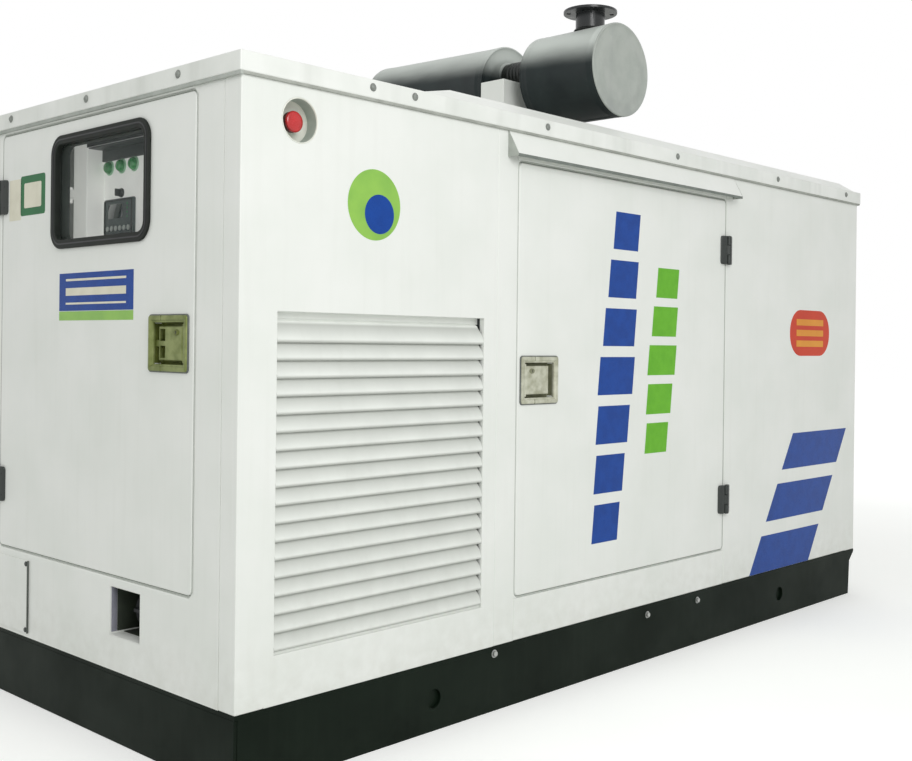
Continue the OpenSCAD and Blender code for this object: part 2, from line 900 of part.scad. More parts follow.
module silencer_neck() {
    color(black) difference() {
        translate([0, 0, neck_z]) rod_y(drum_y1, neck_l + 2, neck_d / 2);
        translate([0, 0, neck_z]) rod_y(drum_y1 - 1, neck_l + 4, neck_d / 2 - outlet_wall);
        second_drum_solid(0);
    }
}

module silencer_second_drum() {
    color(steel) difference() {
        second_drum_solid(0);
        second_drum_solid(drum_wall);
        translate([0, 0, neck_z]) rod_y(drum2_y0 - 10, drum_wall + 12, neck_d / 2 - outlet_wall);
        translate([0, riser_y, axis_z - drum_d]) cylinder(d = riser_d, h = drum_d);
    }
}

module silencer_saddles() {
    color(white) difference() {
        union() {
            block([-saddle_w / 2, saddle_y, roof_top + crown_h], [saddle_w / 2, saddle_y + saddle_d, saddle_top]);
            for (y = [drum_y1 - 120, riser_y - riser_d / 2 - 100])
                block([-cradle_w / 2, y, roof_top + crown_h], [cradle_w / 2, y + 60, axis_z - drum_d / 2 + 30]);
        }
        translate([0, 0, neck_z]) rod_y(saddle_y - 1, saddle_d + 2, neck_d / 2);
        translate([0, 0, axis_z]) rod_y(drum_y0, drum_l, drum_d / 2);
        second_drum_solid(0);
    }
}

module exhaust_outlet() {
    r = outlet_d / 2;
    color(black) translate([0, outlet_y, 0]) difference() {
        union() {
            translate([0, 0, axis_z + drum_d / 2 - 12]) cylinder(r = r, h = outlet_top - axis_z - drum_d / 2 + 12);
            translate([0, 0, outlet_top - flange_t]) cylinder(d = flange_d, h = flange_t);
        }
        translate([0, 0, axis_z]) cylinder(r = r - outlet_wall, h = outlet_top);
        for (i = [0 : flange_holes - 1]) rotate([0, 0, (i + 0.5) * 360 / flange_holes])
            translate([flange_pcd / 2, 0, outlet_top - flange_t - 1])
                cylinder(d = flange_hole_d, h = flange_t + 2);
    }
}

base_rails();
base_cross_members();
deck_plate();
fuel_tank();
corner_posts();
front_louvre_wall();
front_jamb();
front_sill();
front_header();
front_wall();
front_louvre();
front_gutter();
back_louvre_wall();
back_wall();
back_door();
back_louvre();
back_gutter();
end_sill();
end_walls();
end_header();
radiator_end_wall();
discharge_louvre();
roof();
roof_crown();
front_door();
front_hinge_leaves();
front_hinge_pins();
front_latch();
front_paddle();
end_door();
window_rubber();
window_glass();
end_hinge_leaves();
end_hinge_pins();
end_latch();
end_paddle();
stop_cup();
stop_button();
fuel_inlet_box();
fuel_cap();
cable_cover();
control_cabinet();
control_fascia();
cabinet_stand();
engine();
alternator();
machine_feet();
radiator();
exhaust_riser();
silencer_drum();
silencer_neck();
silencer_second_drum();
silencer_saddles();
exhaust_outlet();
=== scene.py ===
import json
import math

import bmesh
import bpy
import numpy as np
from mathutils import Matrix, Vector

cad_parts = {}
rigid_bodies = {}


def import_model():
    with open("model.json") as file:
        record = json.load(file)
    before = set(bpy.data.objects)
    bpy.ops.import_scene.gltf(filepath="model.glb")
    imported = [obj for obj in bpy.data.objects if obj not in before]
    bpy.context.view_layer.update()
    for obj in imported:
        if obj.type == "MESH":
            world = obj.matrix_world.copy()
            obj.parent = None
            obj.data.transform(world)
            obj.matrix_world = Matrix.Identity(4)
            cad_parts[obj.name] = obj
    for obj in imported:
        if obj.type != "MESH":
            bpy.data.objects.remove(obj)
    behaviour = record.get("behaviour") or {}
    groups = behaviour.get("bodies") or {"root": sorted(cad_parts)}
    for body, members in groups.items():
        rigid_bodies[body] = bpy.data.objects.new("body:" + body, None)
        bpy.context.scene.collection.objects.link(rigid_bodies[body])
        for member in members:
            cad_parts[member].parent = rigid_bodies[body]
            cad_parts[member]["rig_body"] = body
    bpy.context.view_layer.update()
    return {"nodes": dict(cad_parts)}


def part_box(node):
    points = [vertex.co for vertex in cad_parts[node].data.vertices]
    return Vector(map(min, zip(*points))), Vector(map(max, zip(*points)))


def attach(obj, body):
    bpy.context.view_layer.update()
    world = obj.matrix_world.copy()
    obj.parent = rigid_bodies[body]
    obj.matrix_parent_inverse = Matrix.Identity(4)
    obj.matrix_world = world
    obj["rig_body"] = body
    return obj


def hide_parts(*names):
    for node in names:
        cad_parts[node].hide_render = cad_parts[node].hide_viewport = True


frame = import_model()
print("frame loaded:", len(frame["nodes"]), "CAD nodes")


def srgb(code, alpha=1.0):
    # sRGB hex to the linear colour that Blender works in
    value = np.array([int(code[i:i + 2], 16) for i in (1, 3, 5)]) / 255
    linear = np.where(value <= 0.04045, value / 12.92, ((value + 0.055) / 1.055) ** 2.4)
    return (*linear.tolist(), alpha)


def addNode(tree, kind, inputs=None, **settings):
    # one node: settings are its properties, inputs its socket values, or what is linked to them:
    # an output, or a node whose first working output is meant
    node = tree.nodes.new("ShaderNode" + kind)
    for name, value in settings.items():
        setattr(node, name, value)
    for name, value in (inputs or {}).items():
        if isinstance(value, bpy.types.Node):
            value = next(output for output in value.outputs if output.enabled)
        if isinstance(value, bpy.types.NodeSocket):
            tree.links.new(value, node.inputs[name])
        else:
            node.inputs[name].default_value = value
    return node


def newMaterial(name):
    material = bpy.data.materials.new(name)
    material.use_nodes = True
    material.node_tree.nodes.clear()
    return material, material.node_tree


def mixed(tree, factor, *pair):
    # two colours mixed by a factor; each may be a hex colour or a node
    pair = [srgb(colour) if isinstance(colour, str) else colour for colour in pair]
    return addNode(tree, "Mix", {0: factor, 6: pair[0], 7: pair[1]}, data_type="RGBA", clamp_result=True)


def patches(tree, coords, millimetres, low=0.35, high=0.65, stretch=(1, 1, 1), detail=3.0):
    # cloudy patches of a real size: noise on object coordinates, cut between two levels
    size = 1000 / millimetres
    place = addNode(tree, "Mapping", {"Vector": coords, "Scale": tuple(size * s for s in stretch)})
    noise = addNode(tree, "TexNoise", {"Vector": place, "Scale": 1.0, "Detail": detail})
    return addNode(tree, "MapRange", {"Value": noise, "From Min": low, "From Max": high})


def bumped(tree, *layers):
    # bump layers one over another, each a height output, a depth in mm and a strength
    normal = None
    for height, depth, strength in layers:
        inputs = {"Height": height, "Distance": depth / 1000, "Strength": strength}
        if normal:
            inputs["Normal"] = normal
        normal = addNode(tree, "Bump", inputs)
    return normal


def paint(name, settings):
    # sprayed and stoved paint on steel: a soft orange peel, sheets that are never quite flat,
    # dust that settles low down, and faint streaks where rain has run
    settings = {"cloudMm": 240, "streakMm": 26, "streaks": 0.1, "dust": 0.0, "dustFromTo": (0.0, 0.5),
                "peelMm": 9, "peelDepth": 0.05, "waveMm": 420, "waveDepth": 0.6, "specular": 0.5,
                "glow": 0.0, **settings}
    material, tree = newMaterial(name)
    coords = addNode(tree, "TexCoord").outputs["Object"]
    height = addNode(tree, "SeparateXYZ", {"Vector": coords}).outputs["Z"]
    cloud = patches(tree, coords, settings["cloudMm"])
    colour = mixed(tree, cloud, *settings["colours"])
    streak = patches(tree, coords, settings["streakMm"], 0.52, 0.78, (1, 1, 0.05))
    streak = addNode(tree, "Math", {0: streak, 1: settings["streaks"]}, operation="MULTIPLY")
    colour = mixed(tree, streak, colour, settings["dirt"])
    low, high = settings["dustFromTo"]
    fade = addNode(tree, "MapRange", {"Value": height, "From Min": low, "From Max": high,
                                      "To Min": settings["dust"], "To Max": 0.0})
    speck = patches(tree, coords, 38, 0.3, 0.7)
    dust = addNode(tree, "Math", {0: fade, 1: speck}, operation="MULTIPLY")
    colour = mixed(tree, dust, colour, settings["dirt"])
    if "slats" in settings:
        # shade painted up each slat: it deepens from the slat's nose and stops just under the nose of the
        # one above
        start, pitch, slatShade = settings["slats"]
        rise = addNode(tree, "Math", {0: height, 1: start}, operation="SUBTRACT")
        rise = addNode(tree, "Math", {0: rise, 1: pitch}, operation="DIVIDE")
        rise = addNode(tree, "Math", {0: rise}, operation="FRACT")
        under = addNode(tree, "Math", {0: rise, 1: -5.0, 2: 5.0}, operation="MULTIPLY_ADD")
        rise = addNode(tree, "Math", {0: rise, 1: under}, operation="MINIMUM")
        colour = mixed(tree, rise, colour, slatShade)
    peel = patches(tree, coords, settings["peelMm"], 0.3, 0.7)
    wave = patches(tree, coords, settings["waveMm"], 0.2, 0.8, detail=1.0)
    rough = settings["roughness"]
    rough = addNode(tree, "MapRange", {"Value": cloud, "To Min": rough - 0.04, "To Max": rough + 0.06})
    normal = bumped(tree, (peel, settings["peelDepth"], 0.35), (wave, settings["waveDepth"], 0.4))
    shader = addNode(tree, "BsdfPrincipled", {
        "Base Color": colour, "Roughness": rough, "Normal": normal, "Metallic": 0.0,
        "Specular IOR Level": settings["specular"], "Emission Color": colour,
        "Emission Strength": settings["glow"]})
    addNode(tree, "OutputMaterial", {"Surface": shader})
    return material


# powder coat: a light skin over steel sheet that hides its grain and shows a soft sheen
whiteEnamel = paint("whiteEnamelSheet", {"colours": ("#eceeea", "#e7eae5"), "dirt": "#b9b8ac",
    "streaks": 0.05, "dust": 0.22, "dustFromTo": (0.2, 0.42), "roughness": 0.36})
# the roof trim: the same coat, smudged where it is handled and where rain leaves its dirt
roofEnamel = paint("smudgedWhiteEnamel", {"colours": ("#eef0ec", "#e5e8e3"), "dirt": "#a2a49c",
    "streaks": 0.22, "streakMm": 90, "cloudMm": 150, "roughness": 0.38})
# the base is brushed with a thick black enamel that gathers road dust
blackEnamel = paint("blackEnamelSteel", {"colours": ("#101b12", "#0b150d"), "dirt": "#343b33",
    "streaks": 0.06, "dust": 0.1, "dustFromTo": (0.0, 0.14), "roughness": 0.5, "peelMm": 6,
    "peelDepth": 0.12, "specular": 0.09})
# stoved black on the cast hinges: satin, with a fine grain
darkCasting = paint("stovedBlackCasting", {"colours": ("#2a302d", "#222825"), "dirt": "#5d625d",
    "streaks": 0.06, "roughness": 0.38, "peelMm": 3, "peelDepth": 0.1, "waveDepth": 0.05})
# heat-proof black on the exhaust, browned and cloudy from use
heatBlack = paint("heatProofBlackPaint", {"colours": ("#141716", "#1f2220"), "dirt": "#4a463f",
    "streaks": 0.1, "cloudMm": 90, "roughness": 0.4, "peelMm": 5, "waveDepth": 0.3})
# dark machine paint with a dull face and settled dust
machineDark = paint("darkMachinePaint", {"colours": ("#2f3435", "#282c2e"), "dirt": "#5a5750",
    "streaks": 0.08, "dust": 0.15, "dustFromTo": (0.2, 0.7), "roughness": 0.5, "peelMm": 4})
# engine enamel: thick grey-green with a soft gloss
enginePaint = paint("engineEnamel", {"colours": ("#4b5a52", "#435148"), "dirt": "#2e2f2a",
    "streaks": 0.12, "dust": 0.2, "dustFromTo": (0.2, 0.9), "roughness": 0.42, "peelMm": 5,
    "peelDepth": 0.15})


def plainSurface(name, settings):
    # a moulded or machined surface: one colour with a little cloud in it, a fine grain, a set gloss
    settings = {"cloudMm": 40, "grainMm": 2.5, "grainDepth": 0.04, "metallic": 0.0, "coat": 0.0,
                "specular": 0.5, **settings}
    material, tree = newMaterial(name)
    coords = addNode(tree, "TexCoord").outputs["Object"]
    colour = mixed(tree, patches(tree, coords, settings["cloudMm"]), *settings["colours"])
    grain = patches(tree, coords, settings["grainMm"], 0.3, 0.7, detail=2.0)
    rough = settings["roughness"]
    rough = addNode(tree, "MapRange", {"Value": grain, "To Min": rough - 0.05, "To Max": rough + 0.08})
    shader = addNode(tree, "BsdfPrincipled", {
        "Normal": bumped(tree, (grain, settings["grainDepth"], 0.4)), "Base Color": colour,
        "Roughness": rough, "Metallic": settings["metallic"], "Coat Weight": settings["coat"],
        "Specular IOR Level": settings["specular"]})
    addNode(tree, "OutputMaterial", {"Surface": shader})
    return material


# bright zinc on bolts and pins
boltZinc = plainSurface("zincPlatedBolt", {"colours": ("#b9bbb8", "#a3a5a2"), "metallic": 0.9,
    "roughness": 0.32, "cloudMm": 12})
# EPDM rubber: dead black, a dry sheen at grazing angles
rubber = plainSurface("extrudedRubber", {"colours": ("#0f140f", "#171d17"), "roughness": 0.62,
    "grainMm": 1.5, "specular": 0.3})
# ABS moulding, pale grey
greyPlastic = plainSurface("mouldedGreyAbs", {"colours": ("#c3c8c4", "#b7bdb9"), "roughness": 0.4,
    "cloudMm": 60})
# glossy red mushroom head of the stop button
redPlastic = plainSurface("glossRedPolyamide", {"colours": ("#c4191b", "#b01416"),
    "roughness": 0.24, "coat": 0.4, "grainDepth": 0.01})
# black polyamide with a fine moulded grain
darkPlastic = plainSurface("mouldedBlackPolyamide", {"colours": ("#1b1c1e", "#242629"),
    "roughness": 0.5, "grainMm": 1.2, "grainDepth": 0.06})
# acoustic foam with an embossed black skin
foam = plainSurface("acousticFoamLining", {"colours": ("#34373a", "#2a2d30"), "roughness": 0.9,
    "grainMm": 14, "grainDepth": 2.0, "cloudMm": 60})
# smooth vinyl films: saturated, with a satin gloss
blueVinyl = plainSurface("blueVinylFilm", {"colours": ("#17479b", "#154190"), "roughness": 0.3,
    "grainDepth": 0.01, "specular": 0.15})
greenVinyl = plainSurface("greenVinylFilm", {"colours": ("#6cb82c", "#64b028"), "roughness": 0.3,
    "grainDepth": 0.01, "specular": 0.15})


def addPiece(name, part, material, body="root", replaced=(), smooth=True):
    # a mesh piece from (verts, faces): doubles merged so seams and poles close, faces turned outward
    verts, faces = part
    mesh = bpy.data.meshes.new(name)
    mesh.from_pydata(np.asarray(verts, float).reshape(-1, 3).tolist(), [], [list(f) for f in faces])
    work = bmesh.new()
    work.from_mesh(mesh)
    bmesh.ops.remove_doubles(work, verts=work.verts, dist=2e-6)
    bmesh.ops.dissolve_degenerate(work, edges=work.edges, dist=1e-6)
    bmesh.ops.recalc_face_normals(work, faces=work.faces)
    work.to_mesh(mesh)
    work.free()
    return placePiece(name, mesh, material, body, replaced, smooth)


def placePiece(name, mesh, material, body, replaced, smooth=True):
    piece = bpy.data.objects.new(name, mesh)
    bpy.context.scene.collection.objects.link(piece)
    mesh.materials.clear()
    mesh.materials.append(material)
    mesh.polygons.foreach_set("use_smooth", np.full(len(mesh.polygons), smooth))
    if smooth:
        mesh.set_sharp_from_angle(angle=math.radians(35))
    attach(piece, body)
    if replaced:
        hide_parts(*replaced)
    return piece


def gridFaces(rows, columns, closed=True, caps=False, start=0):
    # quads between neighbouring rows of points; caps close the first and the last row
    index = np.arange(rows * columns).reshape(rows, columns) + start
    following = np.roll(index, -1, axis=1)
    quads = np.stack([index[:-1], following[:-1], following[1:], index[1:]], -1)
    faces = quads[:, :None if closed else -1].reshape(-1, 4).tolist()
    if caps:
        faces += [index[0, ::-1].tolist(), index[-1].tolist()]
    return faces


def manySurfaces(copies, closed=True, caps=False):
    # the same grid laid at several places: copies is (count, rows, columns, 3)
    copies = np.asarray(copies, float)
    count, rows, columns = copies.shape[:3]
    faces = []
    for index in range(count):
        faces += gridFaces(rows, columns, closed, caps, index * rows * columns)
    return copies.reshape(-1, 3), faces


def joined(*parts):
    # several (verts, faces) pairs as one
    verts, faces, start = [], [], 0
    for partVerts, partFaces in parts:
        partVerts = np.asarray(partVerts, float).reshape(-1, 3)
        verts.append(partVerts)
        faces += [[i + start for i in face] for face in partFaces]
        start += len(partVerts)
    return np.concatenate(verts), faces


# for each axis that a profile may turn round: the directions of angle 0, of a quarter turn, and along it
axisFrames = {"x": ((0, 1, 0), (0, 0, 1), (1, 0, 0)), "-x": ((0, -1, 0), (0, 0, 1), (-1, 0, 0)),
              "y": ((0, 0, 1), (1, 0, 0), (0, 1, 0)), "-y": ((0, 0, 1), (-1, 0, 0), (0, -1, 0)),
              "z": ((1, 0, 0), (0, 1, 0), (0, 0, 1)), "-z": ((-1, 0, 0), (0, 1, 0), (0, 0, -1))}


def turned(profile, places, axis="z", segments=32, outline=None):
    # a profile of (radius, height) turned round an axis at each place: the point at angle a and
    # step s is place + radius(s) * outline(a) * (cos a, sin a) + height(s) along the axis
    profile = np.asarray(profile, float)
    across, upward, along = (np.array(v, float) for v in axisFrames[axis])
    angle = np.arange(segments) * 2 * np.pi / segments
    reach = np.ones(segments) if outline is None else outline(angle)
    ring = (np.cos(angle) * reach)[:, None] * across + (np.sin(angle) * reach)[:, None] * upward
    surface = profile[:, 0, None, None] * ring[None] + profile[:, 1, None, None] * along
    return manySurfaces(np.asarray(places, float).reshape(-1, 1, 1, 3) + surface[None])


def toAxis(*steps):
    # a profile closed onto the axis at both ends
    return [(0, steps[0][1]), *steps, (0, steps[-1][1])]


def softBoxes(lows, highs, radius, steps=2):
    # boxes with round edges: each direction from the middle is pushed out from an inner box,
    # corner(direction) * (half - radius) + radius * direction
    lows, highs = np.atleast_2d(lows).astype(float), np.atleast_2d(highs).astype(float)
    side = np.tan(np.linspace(0, np.pi / 4, steps + 1))
    line = np.concatenate([-side[::-1], side])
    sign = np.repeat([-1.0, 1.0], steps + 1)
    u, v = np.meshgrid(line, line, indexing="ij")
    su, sv = np.meshgrid(sign, sign, indexing="ij")
    middle, half = ((lows + highs) / 2)[:, None, None], ((highs - lows) / 2)[:, None, None]
    radius = np.minimum(radius, half.min(axis=-1, keepdims=True))
    parts = []
    for axis in range(3):
        for end in (-1, 1):
            direction, corner = (np.roll(np.stack([np.full(u.shape, end), *pair], -1), axis, axis=-1)
                                 for pair in ((u, v), (su, sv)))
            direction = direction / np.linalg.norm(direction, axis=-1, keepdims=True)
            parts.append(manySurfaces(middle + corner * (half - radius) + radius * direction, closed=False))
    return joined(*parts)


def bentTube(points, radius, segments=12, caps=True):
    # a tube along a smooth path: rings of the radius, square to the path at each point
    points = np.asarray(points, float)
    tangent = np.gradient(points, axis=0)
    tangent /= np.linalg.norm(tangent, axis=1, keepdims=True)
    upright = abs(tangent[:, 2]).max() >= 0.9
    side = np.cross(tangent, (0.93, 0.31, 0.2) if upright else (0.13, 0.21, 0.97))
    side /= np.linalg.norm(side, axis=1, keepdims=True)
    other = np.cross(side, tangent)
    angle = np.arange(segments) * 2 * np.pi / segments
    reach = np.broadcast_to(radius, len(points))[:, None, None]
    circle = np.cos(angle)[:, None] * side[:, None] + np.sin(angle)[:, None] * other[:, None]
    rings = points[:, None] + reach * circle
    return rings.reshape(-1, 3), gridFaces(len(points), segments, caps=caps)


def curved(points, steps=10):
    # a Catmull-Rom curve through the points, worked out for all steps at once
    p = np.asarray(points, float)
    p = np.concatenate([[2 * p[0] - p[1]], p, [2 * p[-1] - p[-2]]])
    t = np.linspace(0, 1, steps, endpoint=False)[None, :, None]
    a, b, c, d = p[:-3, None], p[1:-2, None], p[2:-1, None], p[3:, None]
    square, cube = 2 * a - 5 * b + 4 * c - d, 3 * b - a - 3 * c + d
    curve = 0.5 * (2 * b + (c - a) * t + square * t ** 2 + cube * t ** 3)
    return np.concatenate([curve.reshape(-1, 3), p[-2:-1]])


def roundOutline(low, high, radius, steps=6):
    # a rectangle with round corners, as points round it
    corners = [(high[0] - radius, high[1] - radius, 0), (low[0] + radius, high[1] - radius, 1),
               (low[0] + radius, low[1] + radius, 2), (high[0] - radius, low[1] + radius, 3)]
    angle = np.linspace(0, np.pi / 2, steps)
    return np.concatenate([np.stack([x + radius * np.cos(angle + k * np.pi / 2),
                                     y + radius * np.sin(angle + k * np.pi / 2)], -1)
                           for x, y, k in corners])


def roundedRect(low, high, radius, steps=6):
    # a rounded rectangle as a function of how far it is set in: its corner radius shrinks by as much,
    # down to half a millimetre, so the outline never crosses itself
    low, high = np.array(low, float), np.array(high, float)
    return lambda inset: roundOutline(low + inset, high - inset, max(radius - inset, 0.0005), steps)


def discOutline(centre, radius, segments=40):
    # a circle as a function of how far it is set in
    angle = np.arange(segments) * 2 * np.pi / segments
    circle = np.stack([np.cos(angle), np.sin(angle)], -1)
    return lambda inset: np.array(centre, float) + (radius - inset) * circle


def fixedOutline(points):
    # an outline that stays as it is, for plates with upright sides
    return lambda inset: np.array(points, float)


def rectangle(low, high):
    # a rectangle with sharp corners and upright sides
    return fixedOutline([low, (high[0], low[1]), high, (low[0], high[1])])


def stacked(*columns):
    # arrays and numbers side by side, as the last axis of one array
    return np.stack(np.broadcast_arrays(*columns), -1)


# lays: (across, up) points put on a face, out metres in front of it
def onFront(points, out):
    return stacked(points[..., 0], frontY - out, points[..., 1])


def onBack(points, out):
    return onFront(points, out) * np.array([1, -1, 1])


def onEnd(points, out):
    return stacked(endX - out, points[..., 0], points[..., 1])


def onFarEnd(points, out):
    return onEnd(points, out) * np.array([-1, 1, 1])


def plate(shape, steps, lay):
    # a plate: the shape at each (inset, distance out) step, and closed at both ends
    rows = np.stack([lay(shape(inset), out) for inset, out in steps])
    return rows.reshape(-1, 3), gridFaces(len(rows), rows.shape[1], caps=True)


def ringBand(shape, steps, lay):
    # a closed band round a shape: the steps are a closed section of (inset, distance out)
    rows = np.stack([lay(shape(inset), out) for inset, out in list(steps) + [steps[0]]])
    return rows.reshape(-1, 3), gridFaces(len(rows), rows.shape[1])


def slab(front, back, windows=()):
    # a closed slab between two like grids of points, with (row, row, column, column) windows left out:
    # both faces are gridded, and walls join them round the edge and round each window
    rows, columns = front.shape[:2]
    kept = np.ones((rows - 1, columns - 1), bool)
    for top, bottom, left, right in windows:
        kept[top:bottom, left:right] = False
    index = np.arange(rows * columns).reshape(rows, columns)
    quads = np.stack([index[:-1, :-1], index[1:, :-1], index[1:, 1:], index[:-1, 1:]], -1)[kept]
    faces = quads.tolist() + (quads[:, ::-1] + rows * columns).tolist()
    for top, bottom, left, right in [(0, rows - 1, 0, columns - 1), *windows]:
        loop = np.concatenate([index[top:bottom, left], index[bottom, left:right],
            index[bottom:top:-1, right] if top else index[bottom:0:-1, right],
            index[top, right:left:-1] if left else index[top, right:0:-1]])
        following = np.roll(loop, -1)
        faces += np.stack([loop, following, following + rows * columns, loop + rows * columns],
            -1).tolist()
    return np.concatenate([front.reshape(-1, 3), back.reshape(-1, 3)]), faces


def softCopy(node, width, material, segments=2, name=None):
    # a CAD node's own solid with its edges rounded: its triangles merged and flattened, then a bevel
    mesh = frame["nodes"][node].data.copy()
    work = bmesh.new()
    work.from_mesh(mesh)
    bmesh.ops.remove_doubles(work, verts=work.verts, dist=1e-5)
    bmesh.ops.dissolve_limit(work, angle_limit=math.radians(0.5), verts=work.verts, edges=work.edges)
    work.to_mesh(mesh)
    work.free()
    body = frame["nodes"][node]["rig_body"]
    piece = placePiece(name or node + "Sheet", mesh, material, body, (node,))
    mesh.polygons.foreach_set("use_smooth", np.ones(len(mesh.polygons), bool))
    bevel = piece.modifiers.new("edges", "BEVEL")
    bevel.width = width
    bevel.segments = segments
    bevel.limit_method = "ANGLE"
    bevel.angle_limit = math.radians(40)
    bevel.harden_normals = True
    return piece


def box(node):
    return tuple(np.array(corner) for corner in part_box(node))


wallLow, wallHigh = box("corner_posts")
roofLow, roofHigh = box("roof")
endX, frontY = wallLow[0], wallLow[1]
baseTop, trimZ = wallLow[2], roofLow[2]

view = {"place": (-3.6763, -3.304, 1.2004), "heading": 43.465, "roll": 0.6583, "lens": 45.909,
    "shiftY": -0.0403}


def makeCamera():
    heading, roll = math.radians(view["heading"]), math.radians(view["roll"])
    forward = np.array([math.cos(heading), math.sin(heading), 0])
    right = np.array([math.sin(heading), -math.cos(heading), 0])
    up = np.array([0, 0, 1])
    rolledRight = math.cos(roll) * right + math.sin(roll) * up
    rolledUp = -math.sin(roll) * right + math.cos(roll) * up
    data = bpy.data.cameras.new("viewCamera")
    data.lens, data.sensor_width, data.sensor_fit = view["lens"], 36, "HORIZONTAL"
    data.shift_y = view["shiftY"]
    camera = bpy.data.objects.new("viewCamera", data)
    turn = np.eye(4)
    turn[:3, 0], turn[:3, 1], turn[:3, 2], turn[:3, 3] = rolledRight, rolledUp, -forward, view["place"]
    camera.matrix_world = Matrix(turn.tolist())
    bpy.context.scene.collection.objects.link(camera)
    bpy.context.scene.camera = camera


def addLamp(name, place, target, size, power):
    data = bpy.data.lights.new(name, "AREA")
    data.shape, data.size, data.energy = "DISK", size, power
    lamp = bpy.data.objects.new(name, data)
    away = (Matrix.Translation(place).translation - Matrix.Translation(target).translation)
    lamp.location = place
    lamp.rotation_mode = "QUATERNION"
    lamp.rotation_quaternion = away.to_track_quat("Z", "Y")
    bpy.context.scene.collection.objects.link(lamp)


lighting = {"sky": 0.68, "key": 94, "keyAt": (-3.0, -4.6, 3.3), "keyTo": (-1.0, -0.8, 1.1), "keySize": 2.6,
            "floor": ("#f2f3f1", "#eff0ee"), "floorSide": 80.0, "floorLift": 0.3, "farLift": 0.18,
            "farFrom": 3.0, "farTo": 7.0}


def unlitRays(tree):
    # 1 for rays from the camera, and for those that mirrors and glass pass on, 0 for light
    path = addNode(tree, "LightPath")
    seen = addNode(tree, "Math", {0: path.outputs["Is Camera Ray"], 1: path.outputs["Is Transmission Ray"]},
                   operation="MAXIMUM")
    return addNode(tree, "Math", {0: seen, 1: path.outputs["Is Glossy Ray"]}, operation="MAXIMUM")


def makeStudio():
    bpy.context.scene.view_settings.view_transform = "Standard"
    world = bpy.data.worlds.new("paleStudio")
    bpy.context.scene.world = world
    world.use_nodes = True
    tree = world.node_tree
    tree.nodes.clear()
    seen = unlitRays(tree)
    light = addNode(tree, "Background", {"Color": srgb("#f9faf8"), "Strength": lighting["sky"]})
    white = addNode(tree, "Background", {"Color": (1, 1, 1, 1), "Strength": 1.0})
    both = addNode(tree, "MixShader", {0: seen, 1: light, 2: white})
    addNode(tree, "OutputWorld", {"Surface": both})
    addLamp("softKey", lighting["keyAt"], lighting["keyTo"], lighting["keySize"], lighting["key"])
    # sealed pale floor with faint cloud in it; unlit rays see it a little nearer to white than it is,
    # and nearer still far from the object, where the key lamp no longer reaches
    material, tree = newMaterial("paleStudioFloor")
    coords = addNode(tree, "TexCoord").outputs["Object"]
    diffuse = addNode(tree, "BsdfDiffuse", {"Color": mixed(tree, patches(tree, coords, 900),
                                                           *lighting["floor"])})
    seen = unlitRays(tree)
    away = addNode(tree, "VectorMath", {0: coords}, operation="LENGTH")
    lift = lighting["floorLift"]
    away = addNode(tree, "MapRange", {"Value": away, "From Min": lighting["farFrom"],
                                      "From Max": lighting["farTo"], "To Min": lift,
                                      "To Max": lift + lighting["farLift"]},
                   interpolation_type="SMOOTHSTEP")
    lift = addNode(tree, "Math", {0: seen, 1: away}, operation="MULTIPLY")
    glow = addNode(tree, "Emission", {"Color": (1, 1, 1, 1), "Strength": lift})
    addNode(tree, "OutputMaterial", {"Surface": addNode(tree, "AddShader", {0: diffuse, 1: glow})})
    side = lighting["floorSide"] / 2
    mesh = bpy.data.meshes.new("studioFloor")
    mesh.from_pydata([(-side, -side, 0), (side, -side, 0), (side, side, 0), (-side, side, 0)], [],
                     [(0, 1, 2, 3)])
    floor = bpy.data.objects.new("studioFloor", mesh)
    mesh.materials.append(material)
    bpy.context.scene.collection.objects.link(floor)


makeCamera()
makeStudio()
print("camera, lamps and floor made")

# edges folded on a press brake: each panel's own radius in metres
foldedEdges = {
    "corner_posts": 0.0035, "front_louvre_wall": 0.0018, "front_jamb": 0.003, "front_sill": 0.005,
    "front_header": 0.003, "front_wall": 0.006, "back_louvre_wall": 0.0018, "back_wall": 0.003,
    "back_door": 0.005, "radiator_end_wall": 0.0022, "roof": 0.004, "roof_crown": 0.005,
    "front_door": 0.006, "end_door": 0.0035, "cable_cover": 0.0012, "silencer_saddles": 0.003,
    "fuel_inlet_box": 0.0011}
baseEdges = {"base_rails": 0.0012, "base_cross_members": 0.003, "deck_plate": 0.0004, "fuel_tank": 0.006}
for node, radius in foldedEdges.items():
    softCopy(node, radius, roofEnamel if node == "roof" else whiteEnamel)
for node, radius in baseEdges.items():
    softCopy(node, radius, blackEnamel)
# the control end's fixed sheet in one: a slab with the doorway and the fuel inlet left out, and round
# the doorway a flush band whose edge is folded in
endSheet = {"band": 0.016, "fold": 0.008, "thick": 0.0498, "corner": 0.0225}
(sillLow, sillHigh), (headLow, headHigh) = box("end_sill"), box("end_header")
inletLow, inletHigh = box("fuel_inlet_box")
wayLow, wayHigh = np.array([headLow[1], sillHigh[2]]), np.array([headHigh[1], headLow[2]])
band, thick = endSheet["band"], endSheet["thick"]
acrossAt = [sillLow[1], wayLow[0] - band, inletLow[1], inletHigh[1], wayHigh[0] + band, sillHigh[1]]
upAt = [sillLow[2], inletLow[2], inletHigh[2], wayLow[1] - band, wayHigh[1] + band, box("end_walls")[1][2]]
grid = np.stack(np.meshgrid(acrossAt, upAt, indexing="ij"), -1)
sheetPart = slab(onEnd(grid, 0.0), onEnd(grid, -thick), ((1, 4, 3, 4), (2, 3, 1, 2)))
innerShape = roundedRect(wayLow, wayHigh, endSheet["corner"], 8)
squareShape = roundedRect(wayLow - band, wayHigh + band, 0.0005, 8)(0)
rows = [onEnd(squareShape, -thick), onEnd(squareShape, 0.0)]
